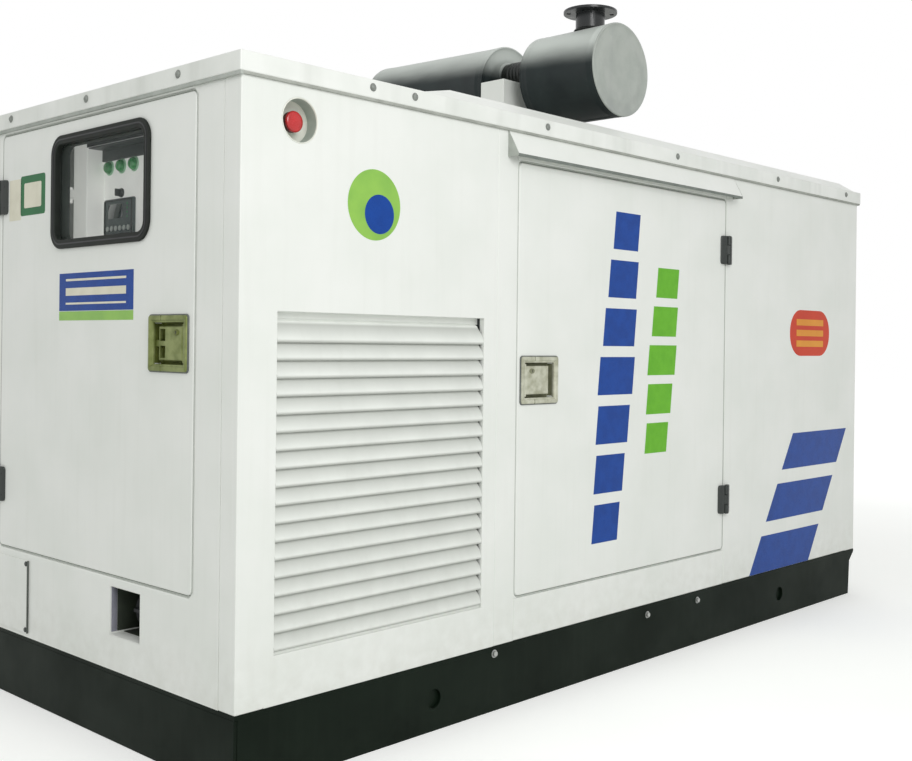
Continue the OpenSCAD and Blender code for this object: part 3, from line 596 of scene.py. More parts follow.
for angle in np.linspace(math.pi / 2, 0, 8):
    inset, out = (endSheet["fold"] * (turn - 1) for turn in (math.cos(angle), math.sin(angle)))
    rows.append(onEnd(innerShape(inset), out))
rows += [onEnd(innerShape(0.0), -thick), onEnd(squareShape, -thick)]
addPiece("controlEndSheet", joined(sheetPart, (np.concatenate(rows), gridFaces(len(rows), len(rows[0])))),
         whiteEnamel, replaced=("end_sill", "end_walls", "end_header"))
for node in ("cabinet_stand", "machine_feet"):
    softCopy(node, 0.004, machineDark)
print("sheet steel done")

louvre = {"blades": 18, "reach": 0.057, "rise": 0.073, "knee": 0.0495, "slope": 0.018, "nose": 0.009,
          "sheet": 0.002, "topGap": 0.075, "foot": 0.017, "sideGap": 0.002, "cheek": 0.0012,
          "endCut": 0.014, "stile": 0.02}
louvreLow, louvreHigh = box("front_louvre")
bladePitch = (louvreHigh[2] - louvreLow[2] - louvre["topGap"] - louvre["foot"]) / (louvre["blades"] - 1)
# louvre blades: the same coat, with shade painted up each slat under the blade above
bladeEnamel = paint("slatShadedBladeEnamel", {
    "colours": ("#ebeee9", "#e4e7e2"), "dirt": "#abada4", "streaks": 0.08, "dust": 0.2,
    "dustFromTo": (0.3, 0.75), "cloudMm": 130, "roughness": 0.42,
    "slats": (louvreLow[2] + louvre["foot"], bladePitch, "#b0b3ad")})


def bladeSection():
    # section (out, up) of one pressed blade: it hangs back from its nose as slope * (up / knee) ^ 1.1,
    # then runs straight in above the knee; the nose is an arc of 115 degrees, and the inner line is set
    # back by the sheet
    part = np.linspace(1, 0, 10)
    outer = np.stack([-np.append(louvre["reach"], louvre["slope"] * part ** 1.1),
                      np.append(louvre["rise"], louvre["knee"] * part)], -1)
    angle = np.radians(np.linspace(0, -115, 9))
    nose, inside = (np.stack([r * np.cos(angle) - louvre["nose"], r * np.sin(angle) - 0.001], -1)
                    for r in (louvre["nose"], louvre["nose"] - louvre["sheet"]))
    back = outer[::-1][1:] - louvre["sheet"] * np.array([0.9, 0.3])
    return np.concatenate([outer, nose, inside[::-1], back])


def makeLouvre(name, node, lay, axis):
    # all blades of one opening, which is the CAD louvre's own box without its stiles: the section is
    # carried from jamb to jamb at each blade's height
    cadLow, cadHigh = box(node)
    low = np.array([cadLow[axis] + louvre["stile"], cadLow[2]])
    high = np.array([cadHigh[axis] - louvre["stile"], cadHigh[2]])
    section = bladeSection()
    heights = low[1] + louvre["foot"] + bladePitch * np.arange(louvre["blades"])
    # the far end of each blade is cut back towards its top, which leaves a three-cornered gap
    cut = louvre["endCut"] * np.clip((section[:, 1] - 0.02) / 0.022, 0, 1)
    ends = (low[0] + louvre["sideGap"], high[0] - louvre["sideGap"] - cut)
    blades = [[lay(stacked(end, height + section[:, 1]), section[:, 0] - 0.001) for end in ends]
              for height in heights]
    addPiece(name + "Blades", manySurfaces(blades, caps=True), bladeEnamel,
             replaced=(node,))
    # thin cheeks line both jambs: white in front, and behind a dark sheet that paints the shade between
    # blade ends and jamb
    for part, inner, outer, material in (("Cheeks", 0.02, 0.0015, whiteEnamel),
                                         ("ShadedCheeks", 0.0485, 0.02, machineDark)):
        sheets = [plate(rectangle((side, low[1]), (side + louvre["cheek"], high[1])),
                        [(0, -inner), (0, -outer)], lay) for side in (low[0], high[0] - louvre["cheek"])]
        addPiece(name + part, joined(*sheets), material, smooth=False)
    # closing strips under the lowest blade and over the highest
    for part, foot, head, out in (("Foot", low[1], low[1] + 0.0065, -0.01),
                                  ("Head", high[1] - 0.02, high[1], -0.032)):
        strip = plate(rectangle((low[0], foot), (high[0], head)), [(0, out - 0.002), (0, out)], lay)
        addPiece(name + part, strip, whiteEnamel, smooth=False)


makeLouvre("frontLouvre", "front_louvre", onFront, 0)
makeLouvre("backLouvre", "back_louvre", onBack, 0)
makeLouvre("dischargeLouvre", "discharge_louvre", onFarEnd, 1)
print("louvres done")

# the joints between the corner posts and the long sides are filled flush before painting
filler = {"fromEnd": 0.095, "half": 0.009, "deep": 0.006}
fills = [plate(rectangle((x - filler["half"], baseTop + 0.004), (x + filler["half"], trimZ - 0.001)),
               [(0, -filler["deep"]), (0, -0.0001)], lay)
         for x in (wallLow[0] + filler["fromEnd"], wallHigh[0] - filler["fromEnd"])
         for lay in (onFront, onBack)]
addPiece("filledCornerJoints", joined(*fills), whiteEnamel, smooth=False)
# dust flaps on the inner face of the rails, behind the lifting holes
flap = {"at": 1.1, "radius": 0.046, "web": 0.0125}
railLow, railHigh = box("base_rails")
disc = toAxis((flap["radius"], -0.003), (flap["radius"], -0.0008), (flap["radius"] - 0.001, 0.0))
flaps = [turned(disc, [(x, side * (-railLow[1] - flap["web"]), railHigh[2] / 2)], axis, 40)
         for x in (-flap["at"], flap["at"]) for side, axis in ((-1, "-y"), (1, "y"))]
addPiece("liftingHoleFlaps", joined(*flaps), blackEnamel)

hinge = {"height": 0.117, "width": 0.044, "pinOut": 0.014, "knuckle": 0.011, "pin": 0.005, "gap": 0.001,
         "edge": 0.0045, "nearPin": 0.015, "corner": 0.012, "screwUp": 0.036, "screwAcross": 0.029}
third = (hinge["height"] - 2 * hinge["gap"]) / 3
middleSpan = [(-third / 2, third / 2)]
outerSpans = [(-hinge["height"] / 2, -third / 2 - hinge["gap"]),
              (third / 2 + hinge["gap"], hinge["height"] / 2)]


def hingeLeaf(side, spans):
    # a cast leaf (across, out, up): its section swells from a thin edge to the knuckle; the knuckle
    # rings are turned, and webs tie them to the leaf over the same spans of height
    w, k, pinOut, bore = hinge["width"], hinge["knuckle"], hinge["pinOut"], hinge["pin"] + 0.0003
    t = np.linspace(0, 1, 9)
    swell = hinge["edge"] + (hinge["nearPin"] - hinge["edge"]) * np.sin(t * np.pi / 2) ** 1.3
    face = np.stack([-w + (w - k - 0.002) * t, swell], -1)[1:]
    section = np.concatenate([[[-w, 0.0005]], face, [[-k - 0.002, 0.0005]]])
    # its two free corners are rounded: the outline is cut back by radius - sqrt(radius^2 - (radius - d)^2)
    # at a distance d from either end
    corner = hinge["corner"]
    fromEnd = np.array([0.0, 0.0012, 0.0035, 0.007, 0.012])
    thin = np.array([0.78, 0.88, 0.96, 1.0, 1.0])
    back = corner - np.sqrt(np.clip(corner ** 2 - np.clip(corner - fromEnd, 0, None) ** 2, 0, None))
    levels = np.concatenate([fromEnd, hinge["height"] - fromEnd[::-1]]) - hinge["height"] / 2
    thin, back = (np.concatenate([values, values[::-1]]) for values in (thin, back))
    across, out = section.T
    rows = stacked(np.maximum(across, back[:, None] - w), out * thin[:, None], levels[:, None])
    parts = [manySurfaces(rows[None], caps=True)]
    web = np.array([[-k - 0.003, 0.001], [-k - 0.003, hinge["nearPin"]], [-0.006, pinOut + k * 0.8],
                    [-0.004, pinOut - k * 0.8]])
    for low, high in spans:
        low, high = low + 0.0004, high - 0.0004
        rows = [stacked(web[:, 0], web[:, 1], z) for z in (low, high)]
        parts.append(manySurfaces([rows], caps=True))
        ring = [(bore, low), (k - 0.0012, low), (k, low + 0.0012), (k, high - 0.0012), (k - 0.0012, high),
                (bore, high), (bore, low)]
        parts.append(turned(ring, [(0, pinOut, 0)], "z", 28))
    verts, faces = joined(*parts)
    return verts * np.array([side, 1, 1]), faces


def hingeScrews(side):
    # two capped screws on a leaf, low domes
    cap = [(0, 0.003), (0.0028, 0.0027), (0.0045, 0.0016), (0.0052, 0.0)]
    verts, faces = turned(cap, [(-hinge["screwAcross"], 0, 0)], "z", 20)
    verts = verts[:, [0, 2, 1]] + np.array([0, hinge["edge"] + 0.0035, 0])
    up = np.array([0, 0, hinge["screwUp"]])
    verts, faces = joined((verts - up, faces), (verts + up, faces))
    return verts * np.array([side, 1, 1]), faces


def laid(part, centre, lay):
    # a fitting made in local (across, out, up), laid on a face round its centre (across, up)
    verts, faces = part
    return lay(stacked(verts[:, 0] + centre[0], verts[:, 2] + centre[1]), verts[:, 1]), faces


def makeHinges(name, pinNode, across, lay, moving, replaced=False):
    # the moving leaves ride the door, the fixed ones and the pins stay; the CAD pins' own box gives the
    # pin's place and both heights
    low, high = box(pinNode)
    half, r = hinge["height"] / 2, hinge["pin"]
    rod = toAxis((0.0035, -half - 0.001), (r, -half + 0.001), (r, half - 0.001),
           (0.0035, half + 0.001))
    rod = turned(rod, [(0, hinge["pinOut"], 0)], "z", 20)
    for key, parts, body, material in (("Leaves", [hingeLeaf(1, middleSpan)], moving, darkCasting),
                                       ("Pins", [hingeLeaf(-1, outerSpans)], "root", darkCasting),
                                       ("LeafCaps", [hingeScrews(1)], moving, darkPlastic),
                                       ("PinCaps", [hingeScrews(-1), rod], "root", darkPlastic)):
        both = [laid(part, (low[across] + hinge["knuckle"], height), lay)
                for height in (low[2] + half, high[2] - half) for part in parts]
        nodes = (pinNode.replace("pins", key.lower()),) if replaced and "Caps" not in key else ()
        addPiece(name + key, joined(*both), material, body, nodes)


makeHinges("frontHinge", "front_hinge_pins", 0, onFront, "front_door", True)
makeHinges("endHinge", "end_hinge_pins", 1, onEnd, "end_door", True)
makeHinges("backHinge", "front_hinge_pins", 0, onBack, "root")

latch = {"corner": 0.012, "gasket": 0.0045, "lip": 0.024, "proud": 0.009, "depth": 0.027, "plate": 0.006,
         "wide": 0.12, "tall": 0.096, "jointAt": 0.35, "keyAcross": 0.03, "keyUp": 0.031}
# bright zinc, its colour painted with the pale ground it reflects on the service side
paleZinc = plainSurface("paleReflectionPaintedZinc", {
    "colours": ("#c6c7b6", "#a3a48e"), "metallic": 0.45, "roughness": 0.36, "cloudMm": 30})
# the same zinc, painted olive as the green surroundings it reflects
oliveReflectionZinc = plainSurface("oliveReflectionPaintedZinc", {
    "colours": ("#858e58", "#667038"), "metallic": 0.45, "roughness": 0.38, "cloudMm": 34})
# pressed steel inside the pans, painted darker than the frames as the shade in them, and tinted like them
palePan = plainSurface("shadedPalePan", {
    "colours": ("#8b8d74", "#74765c"), "metallic": 0.3, "roughness": 0.5, "cloudMm": 26})
oliveShadePan = plainSurface("shadedOlivePan", {
    "colours": ("#6a7330", "#565e26"), "metallic": 0.3, "roughness": 0.5, "cloudMm": 26})
# EPDM strip bleached by sun to a dark grey
greyGasket = plainSurface("bleachedRubberStrip", {
    "colours": ("#6c706e", "#575b59"), "roughness": 0.6, "grainMm": 2, "cloudMm": 30})


def paddleFace(s, t, slotted):
    # height of the paddle's face over (across s 0..1, up t -1..1): rolled edges, a swage line round
    # it and a finger scoop near the free edge, which slots make shallower
    nearEdge = np.maximum(np.abs(2 * s - 1), np.abs(t))
    edge = np.clip((nearEdge - 0.9) / 0.1, 0, 1) ** 2
    swage = np.clip(1 - np.abs(nearEdge - 0.8) / 0.05, 0, 1)
    scoop = np.exp(-((s - 0.76) / 0.1) ** 2) * np.clip(1.35 - np.abs(t) * 1.5, 0, 1)
    return -0.0004 - 0.0022 * edge - 0.0007 * swage - (0.0008 if slotted else 0.0032) * scoop


def makeLatch(name, node, lay, axis, body, metal, panMetal, slotted):
    low, high = (corner[[axis, 2]] for corner in box(node))
    centre = (low + high) / 2
    whole = roundedRect(low, high, latch["corner"], 6)
    g, lip, proud, depth = latch["gasket"], latch["lip"], latch["proud"], latch["depth"]
    gasketSteps = [(0, 0.0002), (0.0002, 0.0034), (0.0012, 0.0044), (g, 0.0044), (g, 0.0002)]
    addPiece(name + "Gasket", ringBand(whole, gasketSteps, lay), greyGasket, body)
    # the frame is pressed: a rolled outer edge, a flat band, and a fall into the pan
    frameSteps = [(0.0032, 0.0026), (0.0034, 0.0058), (0.005, 0.008), (0.008, proud), (0.015, proud),
                  (0.0172, proud - 0.0016), (0.0186, 0.005), (0.02, 0.004), (lip - 0.001, 0.0034),
                  (lip, 0.001), (lip, -0.005), (lip - 0.0014, -0.005), (lip - 0.0018, 0.002)]
    addPiece(name + "Frame", ringBand(whole, frameSteps, lay), metal, body, (node,))
    # the pan: straight walls, a small radius at the bottom and a flat floor
    panSteps = [(lip - 0.003, -0.0045), (lip - 0.003, -depth - 0.003), (lip - 0.0005, -depth - 0.003),
                (lip - 0.0005, -depth - 0.003), (lip + 0.003, -depth), (lip + 0.0012, -depth + 0.001),
                (lip, -depth + 0.0035), (lip, -0.0045)]
    floor = plate(whole, [(lip - 0.0008, -depth - 0.0029), (lip + 0.0034, -depth + 0.0001)], lay)
    addPiece(name + "Pan", joined(ringBand(whole, panSteps, lay), floor), panMetal, body)
    # joint lines across the frame's top and bottom, where its two pressings meet
    mirrored = -1 if axis == 1 else 1
    at = centre[0] - mirrored * (0.5 - latch["jointAt"]) * (high[0] - low[0])
    lines = [plate(rectangle((at - 0.0014, foot), (at + 0.0014, foot + 0.0135)),
                   [(0, 0.002), (0, proud + 0.0002)], lay) for foot in (low[1] + 0.004, high[1] - 0.0175)]
    addPiece(name + "JointLines", joined(*lines), panMetal, body, smooth=False)
    paddle = node.replace("latch", "paddle")
    makePaddle(name, paddle, lay, axis, centre, metal, panMetal, slotted)
    if slotted:
        # a keeper lug across the middle of the finger gap
        gap = box(paddle)[1][axis]
        corners = lay(np.array([[gap + 0.002, centre[1] - 0.01], [high[0] - lip, centre[1] + 0.01]]),
                      np.array([-0.024, -0.006]))
        keeper = softBoxes(corners.min(0), corners.max(0), 0.003)
        addPiece(name + "Keeper", keeper, metal, body)


def makePaddle(name, node, lay, axis, centre, metal, panMetal, slotted):
    start = box(node)[1][axis] - latch["wide"]
    # grid lines fall on the finger slots' edges, so that whole cells can be left out
    across = np.concatenate([np.linspace(0, 0.72, 25), np.linspace(0.72, 0.93, 9)[1:],
                             np.linspace(0.93, 1, 5)[1:]])
    upward = np.concatenate([np.linspace(-1, -0.86, 4), np.linspace(-0.86, -0.14, 13)[1:],
                             np.linspace(-0.14, 0.14, 5)[1:], np.linspace(0.14, 0.86, 13)[1:],
                             np.linspace(0.86, 1, 4)[1:]])
    s, t = np.meshgrid(across, upward, indexing="ij")
    points = np.stack([start + latch["wide"] * s, centre[1] + latch["tall"] / 2 * t], -1)
    windows = [(24, 32, 3, 15), (24, 32, 19, 31)] if slotted else []
    pressing = slab(lay(points, paddleFace(s, t, slotted)), lay(points, -latch["plate"]), windows)
    rod = turned(toAxis((0.004, -0.0545), (0.004, 0.0545)), [(0, -0.006, 0)], "z", 20)
    rod = laid(rod, (start, centre[1]), lay)
    addPiece(name + "Paddle", joined(pressing, rod), metal, node, (node,))
    # the key cylinder under its half-round shutter, near the pivot
    at = np.array([start + latch["keyAcross"], centre[1] + latch["keyUp"]])
    shutter = [(0, 0.002), (0.009, 0.002), (0.0104, 0.001), (0.011, -0.001)]
    verts, faces = turned(shutter, [(0, 0, 0)], "z", 28)
    verts = verts[:, [0, 2, 1]] * np.array([1.25, 1, 0.8])
    addPiece(name + "KeyCover", laid((verts, faces), at, lay), panMetal, node)
    slot = plate(rectangle(at - (0.001, 0.0045), at + (0.001, 0.0045)), [(0, 0.0018), (0, 0.0026)], lay)
    addPiece(name + "KeySlot", slot, darkPlastic, node, smooth=False)


makeLatch("frontLatch", "front_latch", onFront, 0, "front_door", paleZinc, palePan, False)
makeLatch("endLatch", "end_latch", onEnd, 1, "end_door", oliveReflectionZinc, oliveShadePan, True)
print("hinges and latches done")

stop = {"front": 0.02, "cup": 0.0635, "lip": 0.003}
(cupLow, cupHigh), (headLow, headHigh) = box("stop_cup"), box("stop_button")
stopAt = [((cupLow[0] + cupHigh[0]) / 2, frontY, (cupLow[2] + cupHigh[2]) / 2)]
headR = (headHigh[2] - headLow[2]) / 2
cup, cupIn = stop["cup"], stop["cup"] - stop["lip"]
# the dish is moulded in white: it reads bright where light reaches in, grey-green in its own shade
whiteDish = plainSurface("mouldedWhiteAbs", {
    "colours": ("#f1f2e9", "#e6e9df"), "roughness": 0.38, "cloudMm": 50})
# the same moulding painted grey-green on its wall as the cup's shade
wallShadeDish = plainSurface("wallShadeGreyAbs", {
    "colours": ("#aeb8ae", "#a1aca3"), "roughness": 0.45, "cloudMm": 40})
# moulded ribs round the red skirt give the thumb and finger a grip; its dark red is partly a dark moulding
# and partly painted shade on the head's side
skirtRed = plainSurface("shadedRedPolyamide", {
    "colours": ("#5a1516", "#451011"), "roughness": 0.5, "grainMm": 1.5})
dish = [(cup, 0.0002), (cup - 0.0012, -0.0012), (cupIn, -0.0004), (cupIn - 0.0004, 0.004)]
dish += [(cupIn - 0.0006 - 0.022 * (1 - math.cos(a)), 0.043 + 0.022 * math.sin(a))
         for a in np.linspace(0, np.pi / 2, 9)]
dish += [(0.02, 0.065), (0.019, 0.065), (0.019, 0.052), (0.0175, 0.0515), (0.0113, 0.0515),
         (0.0113, 0.068), (0.04, 0.068), (cup - 0.001, 0.06), (cup, 0.05), (cup, 0.0002)]
addPiece("stopCupDish", turned(dish, stopAt, "y", 72), whiteDish, replaced=("stop_cup",))
# a thin sleeve of painted shade on the wall, from just inside the rim to the floor's corner
film = [(cupIn - 0.0002, 0.0035), (cupIn - 0.001, 0.004), (cupIn - 0.0012, 0.0425),
        (cupIn - 0.0003, 0.0425), (cupIn - 0.0002, 0.0035)]
addPiece("stopCupWallPaintedShade", turned(film, stopAt, "y", 72), wallShadeDish)
# the mushroom head: a nearly flat glossy cap with a tight rim, over a dark skirt
cap = [(0, 0.0), (headR * 0.45, 0.0004), (headR * 0.78, 0.0014), (headR - 0.0022, 0.003),
       (headR - 0.0005, 0.0052), (headR, 0.008), (headR - 0.0004, 0.0092), (0, 0.0092)]
skirt = [(headR - 0.0012, 0.009), (headR - 0.0006, 0.011), (headR - 0.0006, 0.0225),
         (headR - 0.003, 0.0252), (0.014, 0.026), (0, 0.026), (0, 0.009), (headR - 0.0012, 0.009)]
cap, skirt = (np.array(profile) + [0, stop["front"]] for profile in (cap, skirt))
addPiece("stopMushroomHead", turned(cap, stopAt, "y", 60), redPlastic, "stop_button",
         ("stop_button",))
ribbed = turned(skirt, stopAt, "y", 144, lambda angle: 1 - 0.012 * (0.5 + 0.5 * np.cos(angle * 36)))
addPiece("stopHeadSkirt", ribbed, skirtRed, "stop_button")
shaft = toAxis((0.011, 0.044), (0.011, 0.098))
addPiece("stopButtonShaft", turned(shaft, stopAt, "y", 32), darkPlastic, "stop_button")
# contact blocks behind the dish
contacts = softBoxes([np.add(stopAt[0], (-0.021, 0.069, z)) for z in (-0.026, 0.012)],
                     [np.add(stopAt[0], (0.021, 0.096, z)) for z in (-0.012, 0.026)], 0.002)
addPiece("stopContactBlocks", contacts, darkPlastic)
print("stop button done")

# the window: a rubber profile with a locking strip, clear glass, and what shows behind it
glass, tree = newMaterial("clearToughenedGlass")
# float glass: clear, a grey cast, a sharp reflection that grows towards grazing angles
facing = addNode(tree, "LayerWeight", {"Blend": 0.35}).outputs["Facing"]
coords = addNode(tree, "TexCoord").outputs["Object"]
film = patches(tree, coords, 130, 0.35, 0.7)
film = addNode(tree, "MapRange", {"Value": film, "To Min": 0.02, "To Max": 0.05})
veil = addNode(tree, "MapRange", {"Value": facing, "To Min": 0.0, "To Max": 0.16})
cover = addNode(tree, "Math", {0: film, 1: veil}, operation="ADD")
shader = addNode(tree, "BsdfPrincipled", {"Base Color": srgb("#6f7a76"), "Roughness": 0.04, "Alpha": cover})
addNode(tree, "OutputMaterial", {"Surface": shader})
softCopy("window_glass", 0.0008, glass)
softCopy("window_rubber", 0.0032, rubber, 3)
windowLow, windowHigh = box("window_rubber")
strip = [(0.0125, 0.008), (0.0125, 0.0096), (0.0138, 0.0104), (0.0158, 0.0104), (0.0171, 0.0096),
         (0.0171, 0.008)]
windowShape = roundedRect(windowLow[1:], windowHigh[1:], 0.062, 12)
addPiece("windowLockingStrip", ringBand(windowShape, strip, onEnd), darkPlastic, "end_door")

fasciaLow, fasciaHigh = box("control_fascia")
cabinetLow, cabinetHigh = box("control_cabinet")
panelBack = fasciaHigh[0]
controls = {"frame": 0.088, "rim": 0.03, "lampPitch": 0.076, "lamp": 0.016, "width": 0.178,
            "height": 0.124, "fromFrame": 0.02, "thick": 0.018, "joint": 0.022, "lugFoot": 1.672}
panelLeft, panelRight = cabinetHigh[1] - controls["frame"], cabinetLow[1] + controls["rim"]
panelTop, panelFoot = cabinetHigh[2] - controls["rim"], cabinetLow[2] + 2 * controls["rim"]


def onPanel(points, out):
    # (y, z) points on the back of the cabinet's recess, out metres in front of it
    return stacked(panelBack - out, points[..., 0], points[..., 1])


# rubber edging, dusty and matt
edgingRubber = plainSurface("darkEdgingRubber", {
    "colours": ("#565b56", "#4a4f4a"), "roughness": 0.7, "grainMm": 2, "grainDepth": 0.1})
# pale grey powder coat inside the cabinet, with a weak glow for the light that the studio can't bring in
panelGrey = paint("paleGreyPowderCoat", {
    "colours": ("#e8e9e5", "#e0e1dd"), "dirt": "#a9a9a2", "streaks": 0.03, "roughness": 0.42,
    "peelMm": 4, "waveDepth": 0.1, "glow": 0.34})
softCopy("control_cabinet", 0.004, panelGrey)
# green lens over an unlit lamp
greenLens = plainSurface("greenLensPolycarbonate", {
    "colours": ("#1fae4e", "#179243"), "roughness": 0.14, "coat": 0.6, "grainDepth": 0.01})
# moulded collar round a lens, painted pale green as the lens's light on it
paleGreen = plainSurface("paleGreenCollar", {
    "colours": ("#a5dcb2", "#94d0a4"), "roughness": 0.3, "grainDepth": 0.01})
# textured ABS: dark grey, without gloss
controllerGrey = plainSurface("texturedGreyAbs", {
    "colours": ("#4d5858", "#454f50"), "roughness": 0.5, "grainMm": 1.4, "grainDepth": 0.08})
# hood moulding: nearly black, with a blue cast, standing for the shade at the head of the recess
hoodDark = plainSurface("blueBlackHoodPaintedShade", {
    "colours": ("#151b1e", "#101518"), "roughness": 0.5, "grainMm": 1.4, "grainDepth": 0.06})
# display window: dark and glossy
screenGlass = plainSurface("darkDisplayWindow", {
    "colours": ("#1c2426", "#222b2c"), "roughness": 0.08, "coat": 0.8, "grainDepth": 0.005})
jointAt = fasciaHigh[2] + controls["joint"]
sheets = [plate(roundedRect((panelRight + 0.002, low), (panelLeft - 0.002, high), 0.003, 4),
                [(0, 0.0002), (0, 0.0022), (0.0008, 0.003)], onPanel)
          for low, high in ((jointAt + 0.003, panelTop - 0.002), (panelFoot + 0.002, jointAt - 0.003))]
addPiece("controlPanelSheets", joined(*sheets), panelGrey)
# dark pieces that paint the shade along the head of the recess: a hood, a lining under it, and a visor on
# the rim over it
across = panelRight + 0.0015, panelLeft - 0.0015
hoods = [softBoxes([low, across[0], foot], [high, across[1], head], radius)
         for low, high, foot, head, radius in (
             (panelBack - 0.0125, panelBack - 0.0005, fasciaHigh[2] + 0.006, panelTop - 0.0015, 0.002),
             (cabinetLow[0] + 0.004, panelBack - 0.001, panelTop - 0.0045, panelTop - 0.0005, 0.001),
             (cabinetLow[0] - 0.0025, cabinetLow[0] - 0.0003, panelTop - 0.0015, cabinetHigh[2] - 0.001,
              0.0008))]
addPiece("recessHeadPaintedShade", joined(*hoods), hoodDark)
lampAt = [(panelBack, panelLeft - 0.036 - k * controls["lampPitch"], fasciaHigh[2] - controls["lamp"])
          for k in range(3)]
bezel = [(0.015, 0.003), (0.025, 0.003), (0.025, 0.0052), (0.0235, 0.0068), (0.0205, 0.0076),
         (0.0195, 0.0062), (0.015, 0.0062), (0.015, 0.003)]
addPiece("lampCollars", turned(bezel, lampAt, "-x", 36), paleGreen)
lens = [(0, 0.004), (0.0192, 0.004), (0.0192, 0.011), (0.018, 0.016), (0.014, 0.02),
        (0.0075, 0.0216), (0, 0.022)]
addPiece("lampLenses", turned(lens, lampAt, "-x", 36), greenLens,
         replaced=("control_fascia",))
# the controller: a soft-edged case with a raised rim, a display, a row of keys and small lamps
caseRight, face = panelLeft - controls["fromFrame"], controls["thick"] - 0.004
caseLow = np.array([panelBack - face, caseRight - controls["width"], fasciaLow[2]])
caseHigh = np.array([panelBack - 0.0005, caseRight, fasciaLow[2] + controls["height"]])
addPiece("controllerCase", softBoxes(caseLow, caseHigh, 0.006, 4), controllerGrey)
rim = [(0, face - 0.001), (0, face + 0.0025), (0.002, face + 0.0038), (0.005, face + 0.0025),
       (0.005, face - 0.001)]
caseShape = roundedRect(caseLow[1:] + 0.004, caseHigh[1:] - 0.004, 0.008, 6)
addPiece("controllerRim", ringBand(caseShape, rim, onPanel), darkPlastic)
middle = (caseLow + caseHigh)[1:] / 2
screen = plate(roundedRect(middle + (-0.03, -0.004), middle + (0.06, 0.044), 0.003, 4),
               [(0, face - 0.001), (0, face + 0.0012), (0.001, face + 0.0018)], onPanel)
addPiece("controllerDisplay", screen, screenGlass)
keyAt = [(panelBack - face, middle[0] + y, middle[1] - 0.036) for y in np.linspace(-0.064, 0.064, 6)]
key = [(0, -0.001), (0.0085, -0.001), (0.0085, 0.002), (0.007, 0.0032), (0, 0.0036)]
addPiece("controllerKeys", turned(key, keyAt, "-x", 24), greyPlastic)
ledAt = [(panelBack - face, middle[0] - 0.055, middle[1] + z) for z in (0.0, 0.014, 0.028, 0.042)]
led = [(0, -0.001), (0.003, -0.001), (0.003, 0.0008), (0, 0.0018)]
addPiece("controllerLeds", turned(led, ledAt, "-x", 14), greenLens)
# the key switch above it
switch = toAxis((0.015, 0.003), (0.015, 0.006), (0.0128, 0.0075), (0.0128, 0.012),
          (0.0115, 0.013))
switchAt = np.array([panelBack, panelLeft - 0.112, caseHigh[2] + 0.018])
grip = softBoxes(switchAt + (-0.028, -0.0035, -0.012), switchAt + (-0.01, 0.0035, 0.012), 0.0022)
addPiece("keySwitch", joined(turned(switch, [switchAt], "-x", 30), grip), darkPlastic)
# a lift-off hinge and its lug on the cabinet's side
lugAt = np.array([cabinetLow[0], cabinetHigh[1], controls["lugFoot"]])
lug = softBoxes(lugAt + (0.002, -0.001, 0), lugAt + (0.034, 0.074, 0.032), 0.01, 3)
barrel = turned(toAxis((0.011, 0), (0.013, 0.002), (0.013, 0.052), (0.011, 0.054)),
                [lugAt + (0.016, 0.06, -0.011)], "z", 20)
addPiece("cabinetSideLug", joined(lug, barrel), panelGrey)
print("window and controls done")

# grey seals in the gaps round the three doors, and filled corners behind their round leaves
sillLow, sillHigh = box("front_sill")
frontWay = np.array([sillLow[0], sillHigh[2]]), np.array([sillHigh[0], box("front_header")[0][2]])
doorways = {"front": (onFront, *frontWay), "back": (onBack, *frontWay), "end": (onEnd, wayLow, wayHigh)}
# sponge seal: pale, dry and matt
sealGrey = plainSurface("paleGreySpongeSeal", {
    "colours": ("#c2c7c0", "#b6bbb4"), "roughness": 0.75, "grainMm": 3, "grainDepth": 0.2, "cloudMm": 90})


def cornerFill(low, high):
    # the doorway's square outline at inset 0, and the round one that the leaf follows inside it
    return lambda inset: roundOutline(low + inset, high - inset, endSheet["corner"] if inset else 0.0003, 8)


fillSection = toAxis((0.0003, -0.0015), (0.0003, -0.04))
sealSection = [(0, -0.0035), (0.0012, -0.0018), (0.0032, -0.0018), (0.0044, -0.004), (0.0044, -0.012),
               (0, -0.012)]
for name, (lay, low, high) in doorways.items():
    addPiece(name + "DoorwayCorners", ringBand(cornerFill(low, high), fillSection, lay), whiteEnamel)
    shape = roundedRect(low + 0.0003, high - 0.0003, 0.0222, 8)
    addPiece(name + "DoorSeal", ringBand(shape, sealSection, lay), sealGrey)


def foamPanel(name, lay, low, high, inner, body="root"):
    # embossed foam on an inner face: 9 mm thick, swelling by 3 mm * cos * cos every 80 mm, and thin at
    # its edges
    lines = [np.linspace(a, b, max(int(round((b - a) / 0.02)), 4) + 1) for a, b in zip(low, high)]
    u, v = np.meshgrid(*lines, indexing="ij")
    edge = np.minimum(np.minimum(u - low[0], high[0] - u), np.minimum(v - low[1], high[1] - v))
    swell = 0.005 + 0.003 * np.cos(u * 2 * np.pi / 0.08) * np.cos(v * 2 * np.pi / 0.08)
    thick = 0.004 + swell * np.clip(edge / 0.03, 0, 1)
    points = np.stack([u, v], -1)
    foamed = slab(lay(points, -inner - 0.0005), lay(points, -inner - 0.0005 - thick))
    addPiece(name, foamed, foam, body)


def underRoof(points, out):
    # (x, y) points under the roof sheet, out metres above its lower face
    return stacked(points[..., 0], points[..., 1], wallHigh[2] + out)


